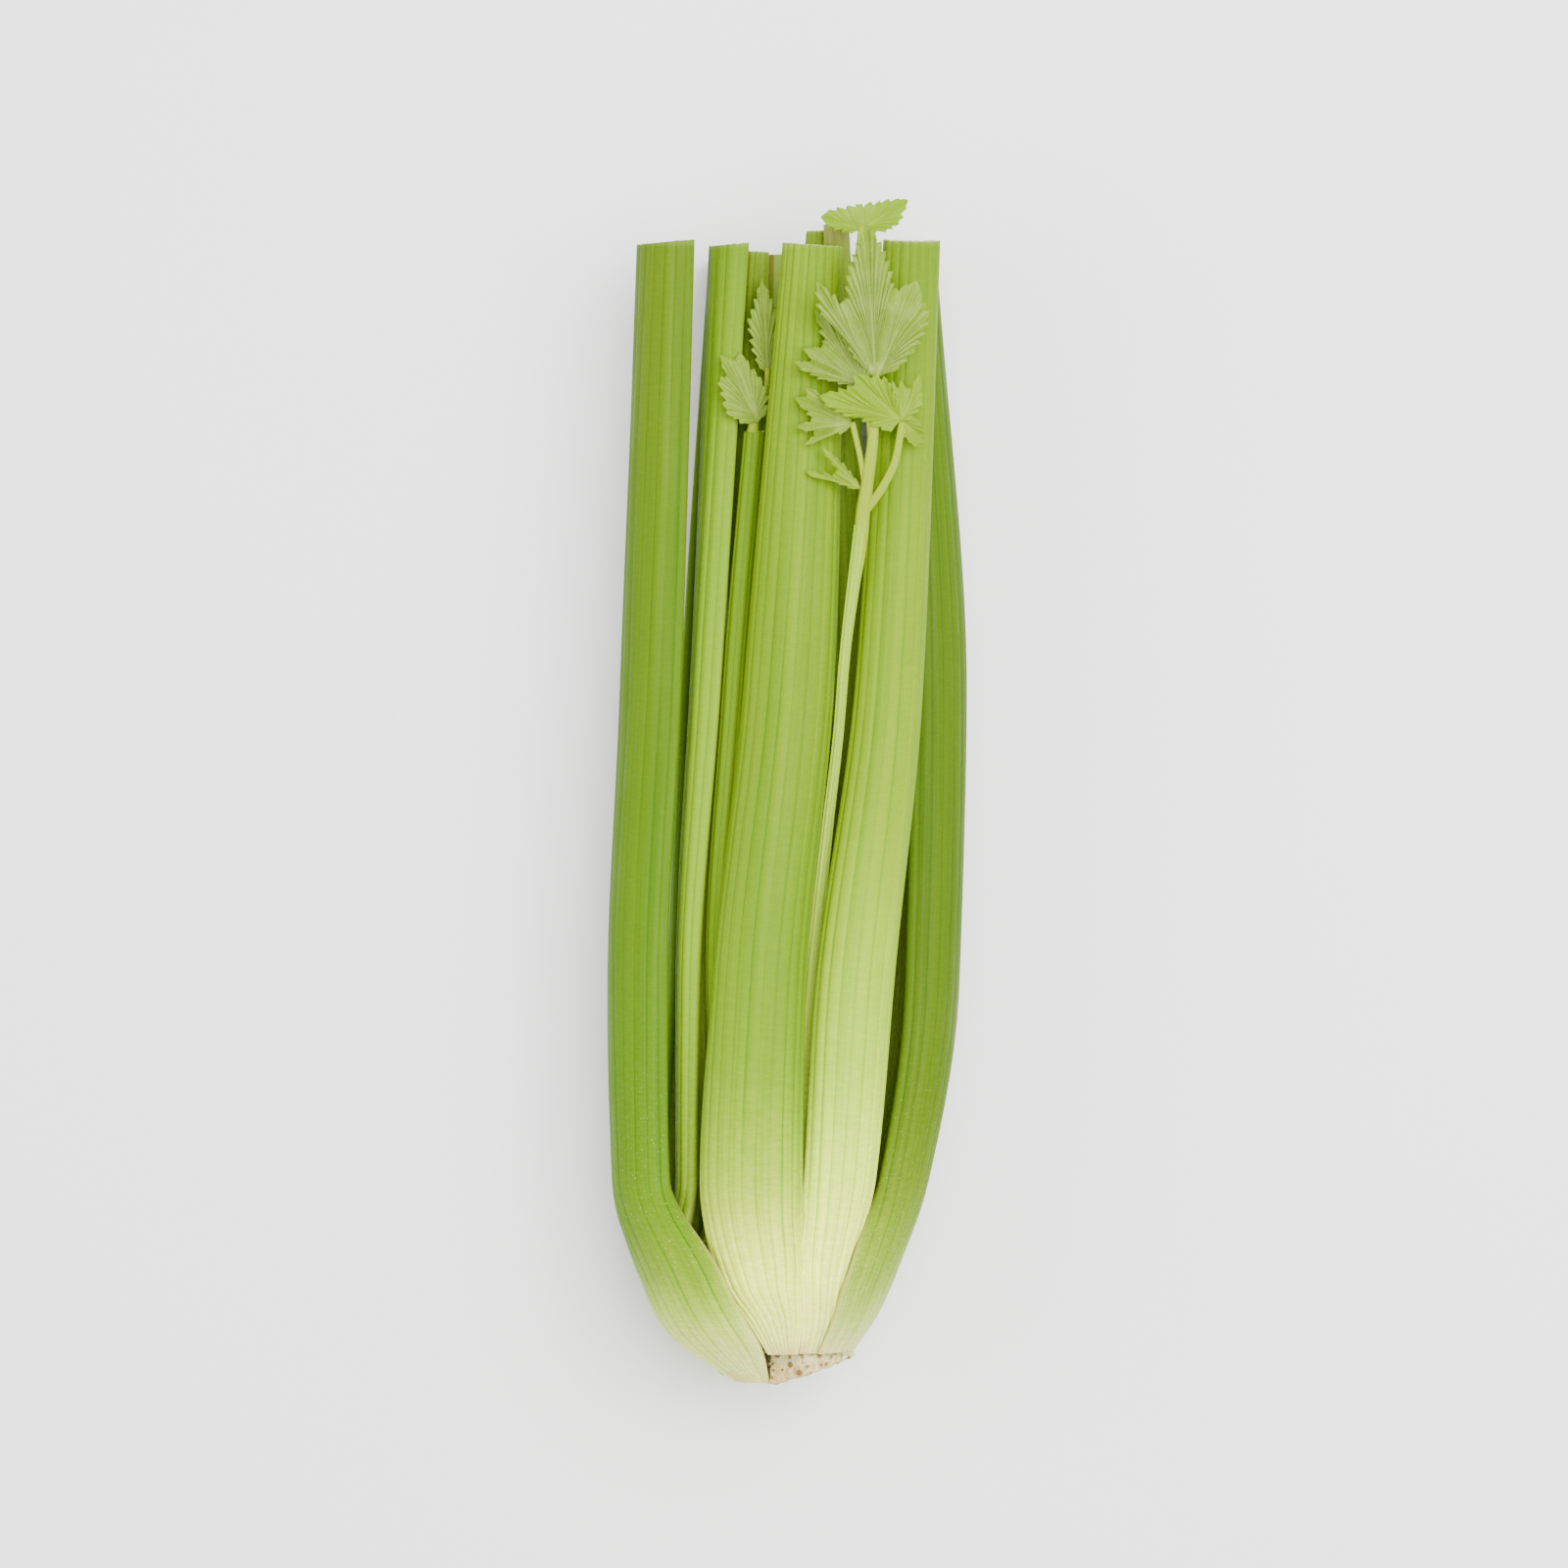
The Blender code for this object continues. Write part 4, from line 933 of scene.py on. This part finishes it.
def blade_faces(rays, rings, count):
    """The faces of a blade with this many points on its front and as many on its back, and of its rim."""
    row = rings + 1
    last = rays - 1
    faces = []
    for ray in range(last):
        for ring in range(rings):
            a = ray * row + ring
            faces.append((a, a + 1, a + row + 1, a + row))
            faces.append((count + a, count + a + row, count + a + row + 1, count + a + 1))
    rim = [ray * row + rings for ray in range(rays)]
    rim += [last * row + ring for ring in reversed(range(rings))]
    rim += [ray * row for ray in reversed(range(last))]
    rim += list(range(1, rings))
    for k, a in enumerate(rim):
        b = rim[(k + 1) % len(rim)]
        faces.append((a, count + a, count + b, b))
    return faces


def blade_mesh(spec):
    """A thin, waved, toothed blade that fans out from its base, and what its veins need at each point."""
    shape, base, tip, roll, fold, droop, seed, _ = spec
    rng = random.Random(seed)
    base = np.array(base)
    along, side, up, length = blade_axes(base, tip, roll)
    waves = [rng.uniform(0, 2 * math.pi) for _ in range(3)]
    rays = blade_edge(SHAPES[shape], length, rng)
    rings = 26 if length > LONG_BLADE else 16
    front, back = [], []
    facts = dict(lobe_along=[], lobe_across=[], teeth_away=[], edge=[])
    for edge_x, edge_s, axis, away in rays:
        for ring in range(rings + 1):
            share = 0.03 + 0.97 * ring / rings
            lobe_x = edge_x * share
            lobe_s = edge_s * share**VEIN_BEND
            x = lobe_x * math.cos(axis) - lobe_s * math.sin(axis)
            s = lobe_x * math.sin(axis) + lobe_s * math.cos(axis)
            r = math.hypot(x, s)
            turn = math.atan2(s, x)
            wave = 0.035 * r * math.sin(5 * turn + waves[0])
            wave += 0.02 * r * (r / length) * math.sin(9 * turn + waves[1])
            wave += vein_relief(away, lobe_s, share, length)
            wave += 0.016 * length * share**4 * math.sin(1.7 * away + 9 * axis + waves[2])
            wave += 0.10 * abs(lobe_s) * share
            height = fold * math.sqrt(s * s + 0.3) + droop * x * x / length * 4 + wave
            middle = base + x * along + s * side + height * up
            thick = BLADE_THICKNESS * (1 - 0.5 * share)
            front.append(middle + 0.5 * thick * up)
            back.append(middle - 0.5 * thick * up)
            for key, value in zip(facts, (lobe_x, abs(lobe_s), away, share)):
                facts[key].append(value)
    points = front + back
    facts = {key: values + values for key, values in facts.items()}
    return points, outward(points, blade_faces(len(rays), rings, len(front))), facts


def vein_relief(away, lobe_s, share, length):
    """How far the blade stands off its smooth form: sunk along the veins, raised in cushions between them."""
    cushion = abs(math.sin(math.pi * away)) ** 0.7
    midrib = math.exp(-(lobe_s / 0.7) ** 2)
    size = (0.008 * length + 0.12) * min(1.0, 1.6 * share)
    return size * cushion * (1 - midrib) - 0.8 * size * midrib


def leaf_piece(name, spec):
    """All the blades and petioles of one leafy stem as a single piece."""
    points, faces = [], []
    facts = dict(lobe_along=[], lobe_across=[], teeth_away=[], edge=[], age=[], stem=[])
    for path in (STEM_ROOTS[name] + spec["petioles"][0], *spec["petioles"][1:]):
        more, more_faces = petiole_mesh(path, PETIOLE_SIDES)
        faces += [tuple(k + len(points) for k in face) for face in more_faces]
        points += more
        for key in facts:
            facts[key] += [1.0 if key == "stem" else 0.0] * len(more)
    for blade in spec["blades"]:
        more, more_faces, more_facts = blade_mesh(blade)
        faces += [tuple(k + len(points) for k in face) for face in more_faces]
        points += more
        for key, values in more_facts.items():
            facts[key] += values
        facts["age"] += [blade[-1]] * len(more)
        facts["stem"] += [0.0] * len(more)
    return new_piece(name + "_toothed", points, faces, facts, name, leaf_material(name))


def feed(tree, made, inputs):
    """Sets each of a node's inputs to a plain value, or feeds it from another node's output."""
    for key, value in inputs.items():
        if isinstance(value, bpy.types.NodeSocket):
            tree.links.new(value, made.inputs[key])
        else:
            made.inputs[key].default_value = value


def add(tree, kind, inputs=None, **settings):
    """A new node with these settings, with its inputs set or fed."""
    made = tree.nodes.new(kind)
    for key, value in settings.items():
        setattr(made, key, value)
    feed(tree, made, inputs or {})
    return made


def maths(tree, operation, *values):
    """One sum on plain values or other nodes' outputs."""
    return add(tree, "ShaderNodeMath", dict(enumerate(values)), operation=operation).outputs[0]


def times(tree, first, second):
    return maths(tree, "MULTIPLY", first, second)


def plus(tree, first, second):
    return maths(tree, "ADD", first, second)


def minus(tree, first, second):
    return maths(tree, "SUBTRACT", first, second)


def from_half(tree, value):
    """How far the value is from half way between two whole numbers."""
    return maths(tree, "ABSOLUTE", minus(tree, maths(tree, "FRACT", value), 0.5))


def ramped(tree, value, low, high, to_low=0.0, to_high=1.0, kind="SMOOTHSTEP"):
    """The value, from low to high, spread over another range: smoothly, or evenly for the kind LINEAR."""
    inputs = {"Value": value, "From Min": low, "From Max": high, "To Min": to_low, "To Max": to_high}
    return add(tree, "ShaderNodeMapRange", inputs, interpolation_type=kind, clamp=True).outputs["Result"]


def blended(tree, factor, first, second, blend_type="MIX"):
    """Two colours mixed by the factor. Each is a linear colour or another node's output."""
    first, second = ((*value, 1.0) if isinstance(value, tuple) else value for value in (first, second))
    inputs = {0: factor, 6: first, 7: second}
    return add(tree, "ShaderNodeMix", inputs, data_type="RGBA", blend_type=blend_type).outputs[2]


def layered(tree, colour, layers):
    """The colour under these layers in turn: each has a mask, a colour, and MIX or MULTIPLY."""
    for mask, layer, blend_type in layers:
        colour = blended(tree, mask, colour, layer, blend_type)
    return colour


def attribute(tree, name):
    """What the mesh says at each point under this name."""
    return add(tree, "ShaderNodeAttribute", attribute_name=name).outputs["Fac"]


def combined(tree, x, y, z):
    return add(tree, "ShaderNodeCombineXYZ", {0: x, 1: y, 2: z}).outputs[0]


def noise(tree, vector, scale=1.0, detail=2.0, roughness=0.5):
    inputs = {"Vector": vector, "Scale": scale, "Detail": detail, "Roughness": roughness}
    return add(tree, "ShaderNodeTexNoise", inputs).outputs[0]


def cells(tree, vector, scale, **settings):
    """How far each place is from the middle of its cell, or from its edge where the settings say so."""
    inputs = {"Vector": vector, "Scale": scale, "Randomness": 1.0}
    return add(tree, "ShaderNodeTexVoronoi", inputs, **settings).outputs["Distance"]


def new_group(name, inputs, outputs):
    """A shader node group with these float sockets: its tree, its inputs, and the node for its outputs."""
    tree = bpy.data.node_groups.new(name, "ShaderNodeTree")
    for labels, in_out in ((inputs, "INPUT"), (outputs, "OUTPUT")):
        for label in labels:
            tree.interface.new_socket(label, in_out=in_out, socket_type="NodeSocketFloat")
    given = tree.nodes.new("NodeGroupInput")
    return tree, [given.outputs[label] for label in inputs], tree.nodes.new("NodeGroupOutput")


def placed(tree, group, inputs):
    """The outputs of a node that holds the group, with its inputs set or fed."""
    return add(tree, "ShaderNodeGroup", inputs, node_tree=group).outputs


def stretched(tree, place, spacing):
    """A place on the skin as a texture counts it, in spots for each rib and each millimetre along."""
    across, along, seed = place
    return combined(tree, times(tree, across, spacing[0]), times(tree, along, spacing[1]), seed)


def rib_stripes_group():
    """Celery's strings: grooves between ribs, darker in part by painted shade, finer lines on them, and each
    rib's own tone.
    """
    outputs = ("Groove", "Fine Line", "Tone", "Height")
    tree, (across, along, seed), out = new_group("rib_stripes", ("Across", "Along", "Seed"), outputs)
    drift = noise(tree, combined(tree, times(tree, along, DRIFT_RATE), across, seed))
    across = plus(tree, across, times(tree, minus(tree, drift, 0.5), DRIFT_REACH))
    between = plus(tree, across, 0.5)
    groove = ramped(tree, from_half(tree, between), *GROOVE_WIDTHS, 1.0, 0.0)
    rib = maths(tree, "FLOOR", between)
    uneven = noise(tree, stretched(tree, (rib, along, seed), GROOVE_SPACING))
    groove = times(tree, groove, ramped(tree, uneven, *GROOVE_FAINTNESS))
    lines = noise(tree, stretched(tree, (across, along, seed), FINE_LINE_SPACING), detail=1.5)
    fine = ramped(tree, lines, *FINE_LINE_RANGE)
    tone = ramped(tree, noise(tree, stretched(tree, (across, along, seed), TONE_SPACING)), *CLOUD_RANGE)
    height = plus(tree, times(tree, groove, -0.55), times(tree, fine, 0.35))
    feed(tree, out, {"Groove": groove, "Fine Line": fine, "Tone": tone, "Height": height})
    return tree


def skin_grain_group():
    """The skin's grain: small cells for its crisp relief and painted highlight dashes, pale specks of painted
    glint, and cloudy patches.
    """
    outputs = ("Cells", "Speck", "Cloud", "Height")
    tree, place, out = new_group("skin_grain", ("Across", "Along", "Seed"), outputs)
    # The cells give the crisp relief and the painted highlight dashes; the pale specks are painted glints.
    crisp = ramped(tree, noise(tree, stretched(tree, place, CELL_SPACING), 1.0, 3.0, 0.6), *CELL_RANGE)
    speck = ramped(tree, cells(tree, stretched(tree, place, SPECK_SPACING), 1.6), *SPECK_WIDTHS, 1.0, 0.0)
    cloud = ramped(tree, noise(tree, stretched(tree, place, CLOUD_SPACING), 1.0, 3.0), *CLOUD_RANGE)
    height = plus(tree, times(tree, crisp, 0.6), times(tree, speck, 0.5))
    feed(tree, out, {"Cells": crisp, "Speck": speck, "Cloud": cloud, "Height": height})
    return tree


def leaf_veins_group():
    """A lobe's veins: the midrib, side veins that bend away from it to the teeth, and a fine net between."""
    inputs = ("Lobe Along", "Lobe Across", "Teeth Away", "Edge Share", "Seed")
    tree, given, out = new_group("leaf_veins", inputs, ("Vein", "Net", "Cloud", "Height"))
    along, across, away, share, seed = given
    width = plus(tree, times(tree, minus(tree, 1.0, share), MIDRIB_TAPER), MIDRIB_WIDTH)
    midrib = ramped(tree, maths(tree, "DIVIDE", across, width), 0.25, 1.0, 1.0, 0.0)
    net_place = combined(tree, along, across, seed)
    bend = times(tree, minus(tree, noise(tree, net_place, 0.3), 0.5), 0.5)
    near = from_half(tree, plus(tree, plus(tree, away, bend), 0.5))
    spread = times(tree, maths(tree, "POWER", share, VEIN_BEND), TOOTH_LENGTH)
    side_vein = ramped(tree, times(tree, near, spread), *SIDE_VEIN_WIDTHS, 1.0, 0.0)
    side_vein = times(tree, side_vein, ramped(tree, share, 0.22, 0.5))
    vein = maths(tree, "MAXIMUM", midrib, times(tree, side_vein, 0.6))
    net = cells(tree, net_place, NET_SCALE, feature="DISTANCE_TO_EDGE")
    net = ramped(tree, net, *NET_WIDTHS, 1.0, 0.0)
    # Cloudy patches: they set the roughness, and lighten the blade as a painted sheen.
    cloud = ramped(tree, noise(tree, net_place, 0.16, 3.0), *MOTTLE_RANGE)
    height = plus(tree, times(tree, vein, -0.8), times(tree, net, -0.25))
    feed(tree, out, {"Vein": vein, "Net": net, "Cloud": cloud, "Height": height})
    return tree


def started_material(name):
    """A new material: itself, its node tree and its Principled shader."""
    material = bpy.data.materials.new(name)
    material.use_nodes = True
    tree = material.node_tree
    return material, tree, next(node for node in tree.nodes if node.type == "BSDF_PRINCIPLED")


def finish_shader(tree, shader, colour, roughness, height, finish):
    """Feeds the shader with the colour, roughness and height that its tree worked out, and its finish."""
    bump, translucence, gloss = finish
    relief = add(tree, "ShaderNodeBump", {"Height": height, "Strength": bump, "Distance": BUMP_DISTANCE})
    feed(tree, shader, {
        "Base Color": colour, "Roughness": roughness, "Normal": relief.outputs[0],
        "Subsurface Weight": translucence, "Subsurface Radius": GLOW_COLOURS, "Subsurface Scale": GLOW_DEPTH,
        "Specular IOR Level": gloss,
    })


def level_colours(tree, along, colours):
    """The colour at each level of a stalk, from its base to its cut top."""
    place = ramped(tree, along, COLOUR_LEVELS[0], COLOUR_LEVELS[-1], kind="LINEAR")
    ramp = add(tree, "ShaderNodeValToRGB", {"Fac": place})
    ramp.color_ramp.interpolation = "B_SPLINE"
    elements = ramp.color_ramp.elements
    while len(elements) < len(colours):
        elements.new(0.5)
    for element, level, colour in zip(elements, COLOUR_LEVELS, colours):
        element.position = level / COLOUR_LEVELS[-1]
        element.color = (*colour, 1.0)
    return ramp.outputs[0]


def stalk_outside(tree, name, base, ribs, grain, along, edge):
    """The skin: ribs of two tones, dark strings, painted groove shade and glints, browned lower edges, foot
    and dried top.
    """
    start = STALKS[name]["start"]
    top = STALKS[name]["keys"][-1][0]
    browning = EDGE_BROWNING if name.startswith("stalk") else 0.0
    rim = times(tree, ramped(tree, edge, *RIM_SHARES), ramped(tree, along, *RIM_LEVELS))
    patchy = ramped(tree, grain["Cloud"], *FOOT_PATCHES)
    foot = times(tree, ramped(tree, along, start + FOOT_LENGTH, start), patchy)
    dried, dried_length, dried_colour = DRIED_TOPS.get(name, PLAIN_DRIED_TOP)
    tones = (blended(tree, 1.0, base, tint, "MULTIPLY") for tint in RIB_TONES)

    def by_level(mask, layer):
        return times(tree, mask, ramped(tree, along, *LEVEL_STRENGTHS[layer]))

    return layered(tree, blended(tree, ribs["Tone"], *tones), (
        # The grooves darken: partly the strings' own darker green, partly painted shade.
        (by_level(ribs["Groove"], "groove"), SKIN_COLOURS["groove"], "MULTIPLY"),
        (by_level(ribs["Fine Line"], "fine line"), SKIN_COLOURS["fine line"], "MULTIPLY"),
        (times(tree, grain["Cloud"], 0.35), SKIN_COLOURS["cloud"], "MULTIPLY"),
        # Painted highlights: pale dashes over the cells, and pale glinting specks.
        (by_level(grain["Cells"], "cell highlight"), SKIN_COLOURS["cell highlight"], "MULTIPLY"),
        (by_level(grain["Speck"], "speck glint"), SKIN_COLOURS["speck glint"], "MIX"),
        (times(tree, ramped(tree, edge, *LIP_SHARES), 0.35), SKIN_COLOURS["lip"], "MULTIPLY"),
        (times(tree, rim, browning), SKIN_COLOURS["browned edge"], "MIX"),
        (foot, SKIN_COLOURS["browned foot"], "MIX"),
        (times(tree, ramped(tree, along, top - dried_length, top), dried), dried_colour, "MIX"),
    ))


def stalk_cut(tree, grain, across, along, depth):
    """The knife's cut: pale flesh, a string bundle behind each rib, green under the skin, tan low down."""
    bundle_place = times(tree, minus(tree, depth, STRING_DEPTH), 1.6)
    squares = (maths(tree, "POWER", part, 2.0) for part in (from_half(tree, across), bundle_place))
    bundle = ramped(tree, maths(tree, "SQRT", plus(tree, *squares)), *STRING_WIDTHS, 1.0, 0.0)
    return layered(tree, CUT_COLOURS["flesh"], (
        (ramped(tree, depth, 0.0, 0.16, 1.0, 0.0), CUT_COLOURS["under the skin"], "MIX"),
        (times(tree, bundle, 0.75), CUT_COLOURS["string"], "MIX"),
        (times(tree, grain["Cells"], 0.35), CUT_COLOURS["cell"], "MIX"),
        (ramped(tree, along, 30.0, 12.0), CUT_COLOURS["browned base"], "MIX"),
    ))


def stalk_material(name):
    """Green, string-ribbed skin over pale crisp flesh, which shows in the channel and on the knife's cut."""
    material, tree, shader = started_material(name + "_skin")
    keys = ("across", "along", "inner", "cut", "depth", "edge")
    across, along, inner, cut, depth, edge = (attribute(tree, key) for key in keys)
    place = {"Across": across, "Along": along, "Seed": 3.1 * PRESS_ORDER.index(name)}
    ribs = placed(tree, RIB_STRIPES, place)
    grain = placed(tree, SKIN_GRAIN, place)
    waver = plus(tree, times(tree, ribs["Tone"], TONE_WAVER), times(tree, grain["Cloud"], CLOUD_WAVER))
    wavered = plus(tree, along, minus(tree, waver, 0.5 * (TONE_WAVER + CLOUD_WAVER)))
    base = level_colours(tree, wavered, STALK_COLOURS[FINISHES.get(name, "outer")])
    outside = stalk_outside(tree, name, base, ribs, grain, along, edge)
    flesh = blended(tree, 0.45, base, SKIN_COLOURS["channel"])
    flesh = blended(tree, times(tree, grain["Cells"], 0.40), flesh, SKIN_COLOURS["channel cell"], "MULTIPLY")
    skin = blended(tree, inner, outside, flesh)
    colour = blended(tree, ramped(tree, cut, 0.2, 0.4), skin, stalk_cut(tree, grain, across, along, depth))
    dull = ramped(tree, grain["Cloud"], 0.0, 1.0, *STALK_ROUGHNESS)
    roughness = minus(tree, dull, times(tree, grain["Speck"], 0.12))
    height = plus(tree, ribs["Height"], times(tree, grain["Height"], 0.5))
    finish_shader(tree, shader, colour, roughness, height, STALK_FINISH)
    return material


def leaf_material(name):
    """Leaf tissue: a lime to dull green blade by its age, painted sheen patches, paler veins and smooth pale
    stems.
    """
    material, tree, shader = started_material(name + "_tissue")
    keys = ("age", "stem", "edge", "lobe_along", "lobe_across", "teeth_away")
    age, stem, edge, lobe_along, lobe_across, teeth_away = (attribute(tree, key) for key in keys)
    veins = placed(tree, LEAF_VEINS, {
        "Lobe Along": lobe_along, "Lobe Across": lobe_across, "Teeth Away": teeth_away,
        "Edge Share": edge, "Seed": float(len(name)),
    })
    blade, pale, rim, vein = (blended(tree, age, *colours) for colours in LEAF_COLOURS.values())
    colour = layered(tree, blade, (
        # Painted sheen: pale silvery cloudy patches on the blade.
        (times(tree, veins["Cloud"], 0.55), pale, "MIX"),
        # A brighter lime rim: partly the edge's own colour, partly painted light through the thin teeth.
        (times(tree, ramped(tree, edge, 0.6, 1.0), 0.55), rim, "MIX"),
        (times(tree, veins["Net"], 0.15), pale, "MIX"),
        (times(tree, veins["Vein"], 0.45), vein, "MIX"),
        (stem, LEAF_STEM_COLOUR, "MIX"),
    ))
    roughness = ramped(tree, veins["Cloud"], 0.0, 1.0, *LEAF_ROUGHNESS)
    finish_shader(tree, shader, colour, roughness, veins["Height"], LEAF_FINISH)
    return material


def butt_material():
    """The dried cut of the root plate: tan, fibrous, with brown pits and broken rootlets."""
    material, tree, shader = started_material("butt_dried_cut")
    place = add(tree, "ShaderNodeTexCoord").outputs["Object"]
    mottle = ramped(tree, noise(tree, place, MOTTLE_SCALE, 4.0, 0.6), *MOTTLE_RANGE)
    fibre = ramped(tree, noise(tree, place, FIBRE_SCALE, 3.0, 0.6), 0.35, 0.65)
    hole = ramped(tree, cells(tree, place, HOLE_SCALE), *HOLE_WIDTHS, 1.0, 0.0)
    hole = times(tree, hole, ramped(tree, noise(tree, place, HOLE_PATCH_SCALE), 0.42, 0.50))
    colour = layered(tree, BUTT_COLOURS["tan"], (
        (mottle, BUTT_COLOURS["pale tan"], "MIX"),
        (times(tree, fibre, 0.40), BUTT_COLOURS["fibre"], "MIX"),
        (ramped(tree, attribute(tree, "along"), 5.5, BUTT_NECK_LEVEL), BUTT_COLOURS["inside"], "MIX"),
        (times(tree, hole, 0.90), BUTT_COLOURS["hole"], "MIX"),
        (times(tree, attribute(tree, "pit"), 0.85), BUTT_COLOURS["pit"], "MIX"),
    ))
    roughness = ramped(tree, mottle, 0.0, 1.0, *BUTT_ROUGHNESS)
    finish_shader(tree, shader, colour, roughness, plus(tree, mottle, times(tree, fibre, 0.6)), BUTT_FINISH)
    return material


def add_floor():
    """A pale paper floor just below the head."""
    mesh = bpy.data.meshes.new("pale_floor")
    signs = ((-1, -1), (1, -1), (1, 1), (-1, 1))
    corners = [(x * FLOOR_REACH, y * FLOOR_REACH, FLOOR_LEVEL) for x, y in signs]
    mesh.from_pydata(corners, [], [(0, 1, 2, 3)])
    material, tree, shader = started_material("pale_paper")
    feed(tree, shader, {"Base Color": PAPER_COLOUR, "Roughness": 0.9})
    mesh.materials.append(material)
    floor = new_object("pale_floor", mesh)


def add_lights():
    """The room's even light, a large soft lamp overhead to the right, and a weaker one to the left."""
    world = bpy.data.worlds.new("soft_room")
    bpy.context.scene.world = world
    world.use_nodes = True
    background = next(node for node in world.node_tree.nodes if node.type == "BACKGROUND")
    feed(world.node_tree, background, {"Color": (1.0, 1.0, 1.0, 1.0), "Strength": WORLD_STRENGTH})
    for name, place, size, power in LIGHTS:
        lamp = bpy.data.lights.new(name, "AREA")
        lamp.shape = "RECTANGLE"
        lamp.size, lamp.size_y = size
        lamp.energy = power
        light = new_object(name, lamp)
        light.location = place
        light.rotation_euler = (-light.location).to_track_quat("-Z", "Y").to_euler()


def add_camera():
    """The camera, straight above the head."""
    lens = bpy.data.cameras.new("overhead_camera")
    lens.sensor_width = SENSOR
    lens.lens = SENSOR * (CAMERA_HEIGHT - MIDDLE_HEIGHT) / FRAME_WIDTH
    camera = new_object("overhead_camera", lens)
    camera.location = ((AIM[0] + SHIFT[0]) * MM, (AIM[1] + SHIFT[1]) * MM, CAMERA_HEIGHT)
    bpy.context.scene.camera = camera


# Everything is moved from the head's own frame so that its left stalk and its butt lie where the solids' do.
sections, section_cache = all_sections()
left_edge = min(outline[:, 0].min() for _, outline in sections["stalk_left"])
left_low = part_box("stalk_left")[0]
butt_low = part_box("butt")[0]
SHIFT = np.array([left_low.x / MM - left_edge, butt_low.y / MM, 0.0])
RIB_STRIPES = rib_stripes_group()
SKIN_GRAIN = skin_grain_group()
LEAF_VEINS = leaf_veins_group()
for stalk_name in PRESS_ORDER:
    stalk_piece(stalk_name, sections[stalk_name])
butt_piece(section_cache)
for leaf_name, leaf_spec in LEAF_NODES.items():
    leaf_piece(leaf_name, leaf_spec)
add_floor()
add_lights()
add_camera()
